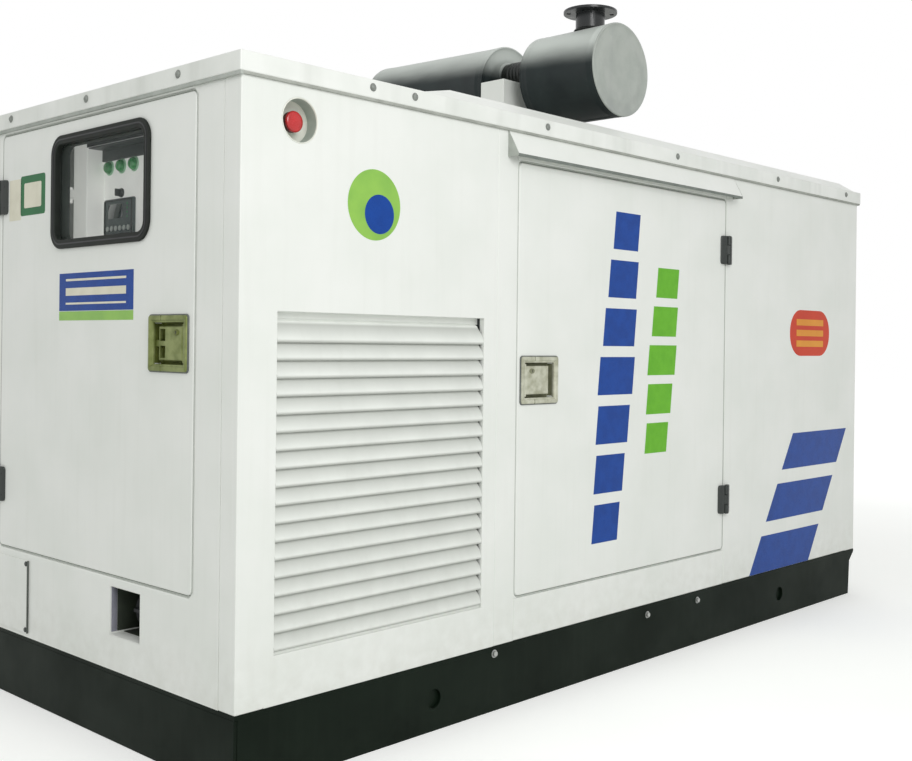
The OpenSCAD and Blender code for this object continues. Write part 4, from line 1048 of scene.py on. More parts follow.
doorFoam = (-0.69, 0.395), (0.575, 1.775)
wallFoam = (0.65, 0.25), (1.73, 1.89)
foamPanel("frontDoorFoam", onFront, *doorFoam, 0.045, "front_door")
foamPanel("endDoorFoam", onEnd, (-0.54, 0.53), (0.54, 1.465), 0.045, "end_door")
foamPanel("backDoorFoam", onBack, *doorFoam, 0.05)
foamPanel("frontWallFoam", onFront, *wallFoam, 0.05)
foamPanel("backWallFoam", onBack, *wallFoam, 0.05)
foamPanel("roofFoamFront", underRoof, (-1.78, -0.7), (1.76, 0.38), 0.0)
foamPanel("roofFoamBack", underRoof, (-1.78, 0.58), (1.76, 0.7), 0.0)
print("seals and foam done")

# the fuel inlet: a dark lining that paints the shade on the back and walls of its box, the box's own white
# sill, and the cap
inletDark = plainSurface("oliveLiningPaintedShade", {
    "colours": ("#2b3327", "#232a20"), "roughness": 0.7, "grainMm": 4, "grainDepth": 0.1})
# a cold grey painted on the inlet's side wall as its shade
lavenderGrey = plainSurface("lavenderGreyPaintedShade", {
    "colours": ("#8f8f9b", "#7c7d88"), "roughness": 0.6, "cloudMm": 50})
fromWall, skin = 0.0029, 0.0015
(x0, y0, z0), (x1, y1, z1) = inletLow + (0.002, fromWall, fromWall), inletHigh - fromWall
skins = [softBoxes(low, high, 0.0004, 1) for low, high in (
    ((x1 - skin, y0, z0 + 0.004), (x1, y1, z1)), ((x0, y0, z0 + 0.01), (x1, y0 + skin, z1)),
    ((x0 + 0.012, y0, z1 - skin), (x1, y1, z1)), ((x0 + 0.045, y0, z0), (x1, y1, z0 + skin)),
    ((x0 + 0.023, y1 - skin, z0 + 0.006), (x1, y1, z1)))]
greyWall = softBoxes((x0 + 0.003, y1 - skin, z0 + 0.006), (x0 + 0.022, y1, z1), 0.0004, 1)
addPiece("fuelInletGreyWall", greyWall, lavenderGrey)
addPiece("fuelInletLining", joined(*skins), inletDark)
capLow, capHigh = box("fuel_cap")
capAt = np.array([capLow[0], (capLow[1] + capHigh[1]) / 2, (capLow[2] + capHigh[2]) / 2])
capR = (capHigh[1] - capLow[1]) / 2


def gripped(angle):
    # twelve shallow finger flutes round the cap
    return 0.975 + 0.025 * np.cos(12 * angle) ** 2


cap = toAxis((capR * 0.3, 0.003), (capR * 0.36, 0.0006), (capR * 0.86, 0.0006),
       (capR * 0.96, 0.003), (capR, 0.008), (capR, 0.022), (capR * 0.96, 0.024),
       (capR - 0.0034, 0.0242), (capR - 0.0034, 0.043), (capR * 0.6, 0.044), (capR * 0.6, 0.118))
grip = softBoxes(capAt + (-0.011, -0.036, -0.007), capAt + (0.004, 0.036, 0.007), 0.005, 3)
addPiece("fuelFillerCap", joined(turned(cap, [capAt], "x", 144, gripped), grip), darkPlastic,
         replaced=("fuel_cap",))
# the cable cover: a rubber edging on its free side and four screws
coverLow, coverHigh = box("cable_cover")
edging = softBoxes(coverLow + (-0.0022, -0.003, 0),
                   (coverLow[0] + 0.003, coverLow[1] + 0.0016, coverHigh[2]), 0.0012)
addPiece("cableCoverEdging", edging, edgingRubber)
head = [(0, -0.0002), (0.0085, -0.0002), (0.0085, 0.0012), (0.0068, 0.0034), (0.003, 0.0044), (0, 0.0046)]
screws = turned(head, [(coverLow[0], y, z) for y in (coverLow[1] + 0.01, coverHigh[1] - 0.012)
                       for z in (coverLow[2] + 0.011, coverHigh[2] - 0.011)], "-x", 24)
addPiece("cableCoverScrews", screws, darkCasting)
print("fuel inlet and cable cover done")

# the roof trim: a rubber strip below it and domed bolts through it
# the grey strips stand for the shadow under the trim, on the long sides and on the control end
stripGrey = plainSurface("sealStripPaintedShadow", {
    "colours": ("#adb0a9", "#9a9d96"), "roughness": 0.8, "grainMm": 2, "grainDepth": 0.12})
stripDark = plainSurface("endSealStripPaintedShadow", {
    "colours": ("#b3b8b2", "#a3a8a2"), "roughness": 0.8, "grainMm": 2, "grainDepth": 0.12})


def stripRound(section, low, high):
    # a closed section of (distance out, height) carried round a rectangle with its corners mitred
    rows = [np.stack([[low[0] - out, low[1] - out, up], [high[0] + out, low[1] - out, up],
                      [high[0] + out, high[1] + out, up], [low[0] - out, high[1] + out, up]])
            for out, up in section + section[:1]]
    return np.concatenate(rows), gridFaces(len(rows), 4)


section = [(0.0012, trimZ + 0.0002), (0.009, trimZ + 0.0002), (0.0094, trimZ - 0.003),
           (0.0078, trimZ - 0.0068), (0.0012, trimZ - 0.007)]
addPiece("roofSealStrip", stripRound(section, wallLow, wallHigh), stripGrey)
endStrip = softBoxes([wallLow[0] - 0.0105, wallLow[1] - 0.0104, trimZ - 0.01],
                     [wallLow[0] - 0.001, wallHigh[1] + 0.0104, trimZ + 0.0001], 0.0012)
addPiece("roofSealStripEnd", endStrip, stripDark)
screwRow = {"front": (-1.394, -1.223, -0.588, 0.218, 1.024, 1.7), "end": (-0.505, 0.0, 0.5),
            "height": 1.943}
dome = [(0, 0.0002), (0.012, 0.0002), (0.0122, 0.0012), (0.0095, 0.0016), (0.009, 0.0034),
        (0.0062, 0.0058), (0.003, 0.0068), (0, 0.007)]
# zinc gone dull on the trim's screws
screwGrey = plainSurface("dulledScrewZinc", {
    "colours": ("#8b8f8a", "#7a7e79"), "metallic": 0.2, "roughness": 0.5, "cloudMm": 10})
spots = [turned(dome, [(x, y, screwRow["height"])], axis, 24) for x in screwRow["front"]
         for y, axis in ((roofLow[1], "-y"), (roofHigh[1], "y"))]
spots += [turned(dome, [(roofLow[0], y, screwRow["height"])], "-x", 24) for y in screwRow["end"]]
addPiece("roofTrimScrews", joined(*spots), screwGrey)
# light bolts that hold the walls to the base rails: a round washer and a hexagonal head
boltRow = {"places": ((-0.821, 0.188), (0.06, 0.174), (0.415, 0.176)),
           "washer": [(0, 0.0002), (0.013, 0.0002), (0.013, 0.0022), (0.0098, 0.0028)],
           "head": toAxis((0.0096, 0.0028), (0.0098, 0.0078), (0.0088, 0.0092))}
spots = [turned(boltRow[part], [(x, y, z)], axis, segments) for x, z in boltRow["places"]
         for y, axis in ((railLow[1], "-y"), (railHigh[1], "y"))
         for part, segments in (("washer", 24), ("head", 6))]
addPiece("baseWallBolts", joined(*spots), boltZinc)
print("trim done")

# the rain gutters: a sloping sheet folded down at its lip, end cheeks in painted shade, and a grey edge
# clipped on the lip that stands for the shadow under it
gutterGrey = plainSurface("dripEdgePaintedShadow", {
    "colours": ("#757c76", "#686f69"), "roughness": 0.6, "grainMm": 4, "grainDepth": 0.08})
# the white coat painted grey as the shade on the gutter's end cheeks
cheekGrey = plainSurface("gutterCheekPaintedShade", {
    "colours": ("#aeb3ac", "#9ea39c"), "roughness": 0.5, "cloudMm": 60})
gutterLow, gutterHigh = box("front_gutter")
drop = gutterHigh[2] - gutterLow[2]


def alongSide(section, start, end, lay):
    # a closed section of (distance out, height below the top) pushed along the side from start to end
    out, down = np.array(section).T
    return manySurfaces([[lay(stacked(x, gutterHigh[2] + down), out) for x in (start, end)]], caps=True)


sheet = [(0.0003, -0.0002), (0.0442, 0.0112 - drop), (0.045, 0.009 - drop), (0.045, 0.0015 - drop),
         (0.043, 0.0015 - drop), (0.043, 0.0085 - drop), (0.0424, 0.01 - drop), (0.0003, -0.004)]
clip = [(0.042, 0.009 - drop), (0.0424, 0.0096 - drop), (0.0456, 0.0096 - drop), (0.046, 0.009 - drop),
        (0.046, 0.0006 - drop), (0.0454, -drop), (0.0426, -drop), (0.042, 0.0006 - drop)]
cheek = [(0.0003, -0.0006), (0.0452, 0.0104 - drop), (0.0452, 0.0012 - drop), (0.0003, 0.0012 - drop)]
for side, lay in (("front", onFront), ("back", onBack)):
    node = side + "_gutter"
    low, high = box(node)[0][0], box(node)[1][0]
    addPiece(side + "GutterHood", alongSide(sheet, low + 0.001, high - 0.001, lay), whiteEnamel,
             replaced=(node,))
    cheeks = [alongSide(cheek, low, low + 0.0022, lay), alongSide(cheek, high - 0.0022, high, lay)]
    addPiece(side + "GutterCheeks", joined(*cheeks), cheekGrey, smooth=False)
    addPiece(side + "GutterDripEdge", alongSide(clip, low + 0.0024, high - 0.0024, lay), gutterGrey)
print("gutters done")

vinyl = {"thick": 0.00035, "edge": 0.00002}


def sticker(name, shapes, lay, material, body="root", lift=0):
    # vinyl films: outlines laid on a face, a third of a millimetre thick; each film's edge stands a
    # hair inside its top, so it catches no light of its own
    steps = [(0, vinyl["edge"] + lift * vinyl["thick"]), (0, (1 + lift) * vinyl["thick"])]
    addPiece(name, joined(*[plate(shape, steps, lay) for shape in shapes]), material, body,
             smooth=False)


def slantedBars(low, high, count, gap, slant, taper=0.0):
    # a stack of bars between two corners: each is a parallelogram whose ends lean by slant,
    # and each next one is shorter by taper
    step = (high[1] - low[1] + gap) / count
    bars = []
    for k in range(count):
        foot, head = low[1] + k * step, low[1] + (k + 1) * step - gap
        left = low[0] + taper * abs(k - (count - 1) / 2)
        right = high[0] - slant + low[0] - left
        lean = [slant * (z - low[1]) / (high[1] - low[1]) for z in (foot, head)]
        bars.append(fixedOutline([(left + lean[0], foot), (right + lean[0], foot),
                                  (right + lean[1], head), (left + lean[1], head)]))
    return bars


def film(name, first, second, rest):
    # smooth vinyl: saturated, with a satin gloss
    return plainSurface(name, {"colours": (first, second), "roughness": 0.35, "grainDepth": 0.01, **rest})


redVinyl = film("redOrangeVinylFilm", "#cf3a14", "#c73412", {"cloudMm": 120, "specular": 0.2})
orangeVinyl = film("orangeVinylFilm", "#e59a2c", "#de9026", {"cloudMm": 120, "specular": 0.2})
greenPale = film("paleGreenVinylFilm", "#8fc24e", "#83b84a", {"cloudMm": 70})
deepGreen = film("deepGreenVinylFilm", "#1c6e3c", "#1a6638", {"cloudMm": 60, "specular": 0.2})
creamVinyl = film("creamVinylFilm", "#e5e2cf", "#dcd9c5",
                  {"roughness": 0.4, "grainDepth": 0.02, "cloudMm": 60})
# vinyl graphics of plain bars and patches
sticker("doorBlueBars", slantedBars((-0.329, 0.484), (0.017, 1.694), 7, 0.04, 0.13, 0.01), onFront,
        blueVinyl, "front_door")
sticker("doorGreenBars", slantedBars((0.01, 0.79), (0.277, 1.502), 5, 0.034, 0.08, 0.01), onFront,
        greenVinyl, "front_door")
sticker("wallBlueBands", slantedBars((0.832, 0.215), (1.752, 0.812), 3, 0.06, 0.38), onFront, blueVinyl)
sticker("wallRedPatch", [fixedOutline(roundOutline((1.173, 1.163), (1.56, 1.373), 0.1, 12))], onFront,
        redVinyl)
sticker("wallOrangeBars", slantedBars((1.235, 1.205), (1.498, 1.331), 3, 0.02, 0.0), onFront, orangeVinyl,
        lift=1)
sticker("postGreenDisc", [discOutline((-1.372, 1.604), 0.104, 64)], onFront, greenPale)
sticker("postBlueDisc", [discOutline((-1.352, 1.578), 0.058, 48)], onFront, blueVinyl, lift=1)
sticker("endBlueLabel", [rectangle((-0.266, 1.29), (0.177, 1.409))], onEnd, blueVinyl, "end_door")
sticker("endGreenLabel", [rectangle((-0.266, 1.26), (0.177, 1.2885))], onEnd, greenPale, "end_door")
lines = [rectangle((-0.225, z), (0.135, z + thick))
         for z, thick in ((1.384, 0.007), (1.338, 0.024), (1.31, 0.006))]
sticker("endLabelLines", lines, onEnd, creamVinyl, "end_door", lift=1)
sticker("endCreamStrip", [rectangle((0.446, 1.599), (0.529, 1.737))], onEnd, creamVinyl, "end_door")
sticker("endGreenSticker", [roundedRect((0.279, 1.611), (0.449, 1.744), 0.01, 5)], onEnd, deepGreen,
        "end_door")
sticker("endStickerCentre", [roundedRect((0.305, 1.636), (0.423, 1.719), 0.006, 5)], onEnd, creamVinyl,
        "end_door", lift=1)
print("vinyl done")

# the silencers: rolled shells, pressed end plates and collars
drums = {"radius": 0.179, "tilt": 1.5, "reflectedSky": "#ccd2cd", "shadeColours": ("#242d2d", "#1a2223"),
         "shadeFromTo": (2.25, 2.368), "lap": 0.044}
shell, tree = newMaterial("stainlessShellPaintedSkyAndShade")
# rolled steel: a painted reflection of the sky makes it bright on top, and painted shade makes it dark from
# a third of the way down; the bright part narrows towards the back
coords = addNode(tree, "TexCoord").outputs["Object"]
axes = addNode(tree, "SeparateXYZ", {"Vector": coords})
shift = addNode(tree, "MapRange", {"Value": axes.outputs["Y"], "From Min": -0.75, "From Max": 0.55,
                                   "To Min": 0.0, "To Max": 0.07})
height = addNode(tree, "Math", {0: axes.outputs["Z"], 1: shift}, operation="SUBTRACT")
ragged = patches(tree, coords, 70, 0.3, 0.7, (1, 0.3, 1))
ragged = addNode(tree, "MapRange", {"Value": ragged, "To Min": -0.006, "To Max": 0.006})
height = addNode(tree, "Math", {0: height, 1: ragged}, operation="ADD")
reflectedSky = addNode(tree, "MapRange", {"Value": height, "From Min": drums["shadeFromTo"][0],
                                   "From Max": drums["shadeFromTo"][1]}, interpolation_type="SMOOTHSTEP")
shadeColour = mixed(tree, patches(tree, coords, 120), *drums["shadeColours"])
colour = mixed(tree, reflectedSky, shadeColour, drums["reflectedSky"])
grain = patches(tree, coords, 2, 0.3, 0.7, (1, 30, 1), 2.0)
rough = addNode(tree, "MapRange", {"Value": grain, "To Min": 0.4, "To Max": 0.52})
shader = addNode(tree, "BsdfPrincipled", {
    "Base Color": colour, "Roughness": rough, "Specular IOR Level": 0.25,
    "Normal": bumped(tree, (grain, 0.05, 0.3), (patches(tree, coords, 160, 0.2, 0.8), 0.8, 0.3))})
addNode(tree, "OutputMaterial", {"Surface": shader})
# pressed end plates: dull galvanised sheet, turning darker and purple-grey towards its bottom
endPlate = paint("dullGalvanisedEndPlate", {
    "colours": ("#acb1ab", "#a4aaa4"), "dirt": "#85878a", "streaks": 0.2, "cloudMm": 60, "dust": 0.3,
    "dustFromTo": (2.1, 2.2), "roughness": 0.5, "peelMm": 3})
# gloss black paint on the outlet pipe
pipeBlack = paint("glossBlackPipe", {
    "colours": ("#15191a", "#1c2021"), "dirt": "#4a4742", "streaks": 0.12, "cloudMm": 60,
    "roughness": 0.26, "peelMm": 4, "waveDepth": 0.2})


def drumShell(length):
    # the shell's profile: it starts behind the rolled rim of each end plate, with a hoop joint near each
    r = drums["radius"]
    first = [(r - 0.006, 0.0066), (r - 0.0006, 0.0066), (r, 0.0072), (r, 0.014), (r - 0.0012, 0.0155),
             (r - 0.0015, 0.03), (r - 0.0008, 0.032), (r - 0.0008, 0.04), (r - 0.0015, 0.042)]
    last = [(radius, length - along) for radius, along in first[::-1]]
    return first + last + [(r - 0.0084, length - 0.01), (r - 0.0084, 0.01)] + first[:1]


def drumEnd(foot):
    # an end plate's profile: a flat middle, a pressed ring, and a curve up to the rim
    r = drums["radius"]
    rim = [(r - 0.0042 + 0.0042 * math.sin(a), 0.0042 - 0.0042 * math.cos(a))
           for a in np.linspace(-math.pi / 3, math.pi / 2, 8)]
    return [(0, foot), (0.108, foot), (0.114, foot - 0.0022), (0.132, foot - 0.0022), (0.138, foot),
            (0.158, foot), (0.166, foot - 0.0014), *rim, (r, 0.0064), (r - 0.007, 0.0064),
            (r - 0.007, foot + 0.004), (0, foot + 0.004)]


(neckLow, neckHigh), (firstLow, firstHigh) = box("silencer_neck"), box("silencer_drum")
secondLow, secondHigh = box("silencer_second_drum")
neckAt, axisAt = (neckLow[2] + neckHigh[2]) / 2, (firstLow[2] + firstHigh[2]) / 2
tilt = math.radians(drums["tilt"])
lean = drums["radius"] * math.sin(tilt)
secondFront = secondLow[1] + lean
secondBack = secondFront + (secondHigh[1] - secondLow[1] - 2 * lean) / math.cos(tilt)


def leaning(part, degrees):
    # a part turned about the x axis through the near end of the second drum's axis
    verts, faces = part
    turn = np.array(Matrix.Rotation(math.radians(degrees), 3, "X"))
    about = np.array([0, secondFront, axisAt])
    return (verts - about) @ turn.T + about, faces


collar = [(0.05, 0.0005), (0.058, 0.0005), (0.0625, 0.0035), (0.0635, 0.0075), (0.05, 0.0075),
          (0.05, 0.0005)]
# the outer end of each drum is dull galvanised; the inner one takes the shell's painted reflection and
# shade, and has a collar for the neck
for name, node, front, back, outer, inner, angle in (
        ("first", "silencer_drum", firstLow[1], firstHigh[1], "y", "-y", 0.0),
        ("second", "silencer_second_drum", secondFront, secondBack, "-y", "y", drums["tilt"])):
    ends = {"y": front, "-y": back}
    barrel = turned(drumShell(back - front), [(0, front, axisAt)], "y", 128)
    foot = axisAt - drums["radius"]
    lap = softBoxes([-0.012, front + drums["lap"], foot], [0.012, back - drums["lap"], foot + 0.0046],
                    0.0015)
    addPiece(name + "DrumShell", leaning(joined(barrel, lap), angle), shell,
             replaced=(node,))
    plates = [turned(drumEnd(0.0062), [(0, ends[axis], axisAt)], axis, 96) for axis in (outer, inner)]
    addPiece(name + "DrumOuterEnd", leaning(plates[0], angle), endPlate)
    neckCollar = turned(collar, [(0, ends[inner], neckAt)], inner, 48)
    addPiece(name + "DrumInnerEnd", leaning(joined(plates[1], neckCollar), angle), shell)
r, length = (neckHigh[2] - neckLow[2]) / 2, neckHigh[1] - neckLow[1]
ribs = [(r - 0.005, 0.0), (r - 0.002, 0.0)]
for k in np.linspace(0.03, length - 0.03, 9):
    ribs += [(r - 0.002, k - 0.006), (r - 0.0003, k - 0.003), (r - 0.0003, k + 0.003),
             (r - 0.002, k + 0.006)]
ribs += [(r - 0.002, length), (r - 0.005, length), (r - 0.005, 0.0)]
addPiece("neckBellows", turned(ribs, [(0, neckLow[1], neckAt)], "y", 64), heatBlack,
         replaced=("silencer_neck",))

# the outlet: a gloss pipe, a welded collar, and a bolt-hole flange
softCopy("exhaust_outlet", 0.0009, pipeBlack, 2, "outletFlange")
outletAt = (box("exhaust_outlet")[0][1] + box("exhaust_outlet")[1][1]) / 2
weld = [(0.0572, 0.0), (0.065, 0.0), (0.0635, 0.004), (0.0605, 0.007), (0.0572, 0.0085), (0.0572, 0.0)]
addPiece("outletWeld", turned(weld, [(0, outletAt, firstHigh[2] - 0.0065)], "z", 64), heatBlack)

# the riser comes up through the roof inside a bolted rain collar
riserLow, riserHigh = box("exhaust_riser")
crownLow, crownHigh = box("roof_crown")
riserAt, r = (riserLow[1] + riserHigh[1]) / 2, (riserHigh[0] - riserLow[0]) / 2
length = riserHigh[2] - riserLow[2]
around = [(r - 0.005, 0.0), (r - 0.0008, 0.0), (r, 0.0015), (r, length * 0.3)]
for k in np.linspace(0.32, 0.52, 9):
    around += [(r - 0.004, length * (k - 0.01)), (r - 0.0002, length * k), (r - 0.004, length * (k + 0.01))]
around += [(r, length * 0.56), (r, length - 0.001), (r - 0.001, length), (r - 0.005, length),
           (r - 0.005, 0.0)]
addPiece("exhaustRiserBellows", turned(around, [(0, riserAt, riserLow[2])], "z", 64), heatBlack,
         replaced=("exhaust_riser",))
rainCollar = [(r + 0.001, 0.0002), (0.112, 0.0002), (0.112, 0.003), (0.104, 0.004), (r + 0.01, 0.004),
              (r + 0.006, 0.012), (r + 0.004, 0.03), (r + 0.001, 0.03), (r + 0.001, 0.0002)]
angle = np.arange(6) * np.pi / 3
boltAt = stacked(0.098 * np.cos(angle), riserAt + 0.098 * np.sin(angle), crownHigh[2] + 0.0035)
heads = turned(toAxis((0.0065, 0), (0.0067, 0.005), (0.0058, 0.0062)), boltAt, "z", 6)
addPiece("roofRainCollar", joined(turned(rainCollar, [(0, riserAt, crownHigh[2])], "z", 64), heads),
         whiteEnamel)
print("exhaust done")

# the machine inside: cast and sheet parts over the CAD solids
softCopy("engine", 0.008, enginePaint, 3)
softCopy("alternator", 0.005, machineDark, 3)
softCopy("radiator", 0.004, machineDark)
# cast aluminium: pale and rough, with a metal glint
castAluminium = plainSurface("castAluminium", {
    "colours": ("#a3a6a4", "#8f9391"), "metallic": 0.8, "roughness": 0.48, "grainMm": 2, "grainDepth": 0.1})
(engineLow, engineHigh), (radiatorLow, radiatorHigh) = box("engine"), box("radiator")
machine = {"crank": 0.732, "flywheelEnd": 0.05, "sump": -0.172, "head": 0.389, "cover": 0.4715,
           "fan": 0.65, "beltGap": 0.045, "riserY": 0.486, "footTop": 0.6317}
crankAt = machine["crank"]
blockFrom, blockTo, half = engineLow[0] + machine["flywheelEnd"], engineHigh[0], engineHigh[1]


def alongBlock(fromStart, fromEnd, count):
    # places spread evenly along the block, between margins at its two ends
    return np.linspace(blockFrom + fromStart, blockTo - fromEnd, count)


# bolts along the sump flange, the head and the rocker cover
sump = turned(toAxis((0.007, 0), (0.0072, 0.006), (0.006, 0.0075)),
              [(x, side * (half - 0.009), crankAt + machine["sump"]) for x in alongBlock(0.04, 0.04, 14)
               for side in (-1, 1)], "-z", 6)
headStuds = turned(toAxis((0.01, 0), (0.0102, 0.009), (0.0088, 0.011)),
                   [(x, side * half * 0.62, crankAt + machine["head"]) for x in alongBlock(0.05, 0.06, 9)
                    for side in (-1, 1)], "z", 6)
coverBolts = turned(toAxis((0.009, 0), (0.0092, 0.006), (0.0078, 0.008)),
                    [(x, 0, crankAt + machine["cover"]) for x in alongBlock(0.1, 0.12, 6)], "z", 6)
addPiece("engineBolts", joined(sump, headStuds, coverBolts), boltZinc)
# core plugs on the crankcase side
plugs = turned(toAxis((0.021, 0.0), (0.023, 0.003), (0.023, 0.006), (0.017, 0.006), (0.015, 0.002)),
               [(x, -half + 0.004, crankAt + 0.12) for x in alongBlock(0.15, 0.15, 7)], "-y", 28)
addPiece("enginePlugs", plugs, castAluminium)
# injection pump, its pipes to the head, two spin-on filters, and the starter
pumpAt = np.array([-0.02, -half - 0.075, crankAt + 0.1])
pump = toAxis((0.036, -0.16), (0.04, -0.155), (0.04, -0.05), (0.058, -0.045), (0.062, -0.035),
              (0.062, 0.085), (0.056, 0.092), (0.044, 0.094), (0.044, 0.16), (0.04, 0.165))
starter = toAxis((0.05, -0.15), (0.056, -0.145), (0.056, 0.05), (0.048, 0.056), (0.048, 0.1), (0.04, 0.106))
starterAt = (blockFrom + 0.17, -half - 0.062, crankAt - 0.1)
pair = [turned(pump, [pumpAt], "x", 40), turned(starter, [starterAt], "x", 40)]
addPiece("injectionPumpAndStarter", joined(*pair), castAluminium)
pipes = []
for k in range(6):
    x, fromPump = blockFrom + 0.15 + k * 0.15, pumpAt + (k * 0.036 - 0.1, 0, 0)
    route = [fromPump + (0, 0, 0.055), fromPump + (0, -0.004, 0.11), (x, -half - 0.03, crankAt + 0.235),
             (x, -half + 0.035, crankAt + 0.315), (x, -half * 0.7, crankAt + 0.345)]
    pipes.append(bentTube(curved(route, 7), 0.0034, 10))
addPiece("fuelPipes", joined(*pipes), boltZinc)
canister = toAxis((0.03, -0.19), (0.045, -0.182), (0.048, -0.17), (0.048, -0.02), (0.044, -0.012),
                  (0.044, 0.0), (0.052, 0.0), (0.052, 0.022))
filters = turned(canister, [(x, -half - 0.064, crankAt + 0.18) for x in (0.34, 0.47)], "z", 44)
addPiece("spinOnFilters", filters, darkPlastic)
# ribs cast on the crankcase sides
ribs = [softBoxes([x - 0.007, min(side * half, side * (half - 0.01)), crankAt - 0.14],
                  [x + 0.007, max(side * half, side * (half - 0.01)), crankAt + 0.21], 0.004)
        for x in alongBlock(0.08, 0.08, 8) for side in (-1, 1)]
addPiece("crankcaseRibs", joined(*ribs), enginePaint)
# the exhaust manifold on the back, with its ports, up to the riser
log = bentTube([(x, half + 0.055, crankAt + 0.32) for x in alongBlock(0.09, 0.12, 12)], 0.04, 28)
ports = [bentTube(curved([(x, half * 0.74, crankAt + 0.3), (x, half, crankAt + 0.315),
                          (x, half + 0.045, crankAt + 0.32)], 5), 0.027, 20)
         for x in alongBlock(0.14, 0.16, 6)]
riserY = machine["riserY"]
bend = [(0, y, crankAt + z) for y, z in ((half + 0.06, 0.33), (half + 0.115, 0.4), (0.47, 0.5),
                                         (riserY, 0.565), (riserY, 0.598))]
flange = turned(toAxis((0.074, 0), (0.076, 0.002), (0.076, 0.012), (0.074, 0.014)),
                [(0, riserY, crankAt + 0.582)], "z", 40)
addPiece("exhaustManifold", joined(log, *ports, bentTube(curved(bend, 8), 0.046, 32), flange), heatBlack)
# cooling fan: six pressed blades on a hub, and the belts that drive it; each blade is a helical strip
# that widens towards its tip, angle(r) * chord, with a hollow of 8 mm
fanAt = np.array([engineHigh[0] + machine["fan"], 0, crankAt + 0.16])
across = np.linspace(0.055, 0.375, 12)
radius, step = np.meshgrid(across, np.linspace(-1, 1, 8), indexing="ij")
part = (radius - across[0]) / (across[-1] - across[0])
width, twist = 0.068 + 0.022 * part, np.radians(52 - 24 * part)
side, along = step * width * np.sin(twist), step * width * np.cos(twist) + 0.008 * (1 - step ** 2)
blades = []
for spin in np.arange(6) * np.pi / 3:
    front = fanAt + stacked(along, radius * np.cos(spin) - side * np.sin(spin),
                            radius * np.sin(spin) + side * np.cos(spin))
    blades.append(slab(front, front + np.array([0.0028, 0, 0])))
hub = turned(toAxis((0.07, -0.04), (0.078, -0.032), (0.078, 0.032), (0.07, 0.04)), [fanAt], "x", 36)
shaft = turned(toAxis((0.03, -0.02), (0.03, 0.52)), [fanAt - (0.55, 0, 0)], "x", 24)
addPiece("coolingFan", joined(hub, shaft, *blades), darkPlastic)
pulley = toAxis((0.07, -0.03), (0.084, -0.03), (0.07, -0.02), (0.084, -0.01), (0.07, 0.0),
                (0.084, 0.01), (0.07, 0.02), (0.084, 0.03))
pulleyAt = ((0, crankAt), (0, crankAt + 0.16), (-0.2, crankAt + 0.1))
beltX = blockTo + machine["beltGap"]
addPiece("beltPulleys", turned(pulley, [(beltX, y, z) for y, z in pulleyAt], "x", 48), castAluminium)


def beltLoop(places, reach, width, thick, x):
    # a belt round pulleys at (y, z) places: the hull of their circles, as a flat band
    angle = np.linspace(0, 2 * np.pi, 121)[:-1]
    ring = np.stack([np.cos(angle), np.sin(angle)], -1)
    hull = np.max([np.array(place) @ ring.T + reach for place in places], axis=0)
    slope = np.gradient(hull, angle[1] - angle[0])
    shape = hull[:, None] * ring + slope[:, None] * np.stack([-ring[:, 1], ring[:, 0]], -1)
    fromMiddle = shape - shape.mean(axis=0)
    inner = shape - fromMiddle * thick / np.linalg.norm(fromMiddle, axis=1, keepdims=True)
    rows = [stacked(x + out, line[:, 0], line[:, 1])
            for line, out in ((shape, 0), (shape, width), (inner, width), (inner, 0), (shape, 0))]
    return np.concatenate(rows), gridFaces(5, len(angle))


belts = [beltLoop(pulleyAt, 0.082, 0.01, 0.008, beltX + out) for out in (-0.018, 0.002)]
addPiece("driveBelts", joined(*belts), rubber)
# radiator hoses with clips
x0, x1 = radiatorLow[0], engineHigh[0]
topZ, lowZ = radiatorHigh[2] - 0.1, radiatorLow[2] + 0.12
topHose = [(x0 + 0.095, -0.2, topZ), (x0 - 0.1, -0.2, topZ), (x1 + 0.3, -0.14, topZ - 0.1),
           (x1 + 0.08, -0.1, crankAt + 0.36), (x1 - 0.03, -0.1, crankAt + 0.33)]
lowHose = [(x0 + 0.095, 0.3, lowZ), (x0 - 0.12, 0.3, lowZ), (x1 + 0.3, 0.24, lowZ + 0.1),
           (x1 + 0.06, 0.16, crankAt - 0.06), (x1 - 0.03, 0.16, crankAt - 0.04)]
addPiece("coolantHoses", joined(*[bentTube(curved(route, 10), 0.03, 24) for route in (topHose, lowHose)]),
         rubber)
clip = [(0.0306, -0.006), (0.0326, -0.006), (0.0326, 0.006), (0.0306, 0.006), (0.0306, -0.006)]
clipAt = [(x1 + 0.014, -0.1, crankAt + 0.335), (x1 + 0.014, 0.16, crankAt - 0.044),
          (x0 + 0.06, -0.2, topZ), (x0 + 0.06, 0.3, lowZ)]
addPiece("hoseClips", turned(clip, clipAt, "x", 32), boltZinc)
# radiator: the fins and tubes of its core on the outlet side, and a cap
core = {"finPitch": 0.0145, "tubesTo": 0.466, "tubePitch": 0.031, "half": 0.47, "foot": 0.3, "head": 1.42}
finX = radiatorHigh[0]
rises = np.arange(core["foot"], core["head"], core["finPitch"])
fins = softBoxes([(finX - 0.004, -core["half"], z) for z in rises],
                 [(finX + 0.006, core["half"], z + 0.0035) for z in rises], 0.001, 1)
shifts = np.arange(-core["tubesTo"], core["tubesTo"], core["tubePitch"])
tubes = softBoxes([(finX - 0.004, y, core["foot"] - 0.015) for y in shifts],
                  [(finX + 0.004, y + 0.004, core["head"] + 0.015) for y in shifts], 0.001, 1)
addPiece("radiatorCore", joined(fins, tubes), castAluminium)
cap = [(0, 0), (0.024, 0), (0.024, 0.014), (0.032, 0.014), (0.034, 0.018), (0.034, 0.026), (0.03, 0.03),
       (0, 0.031)]
addPiece("radiatorCap", turned(cap, [(1.555, 0, radiatorHigh[2] - 0.001)], "z", 32), boltZinc)
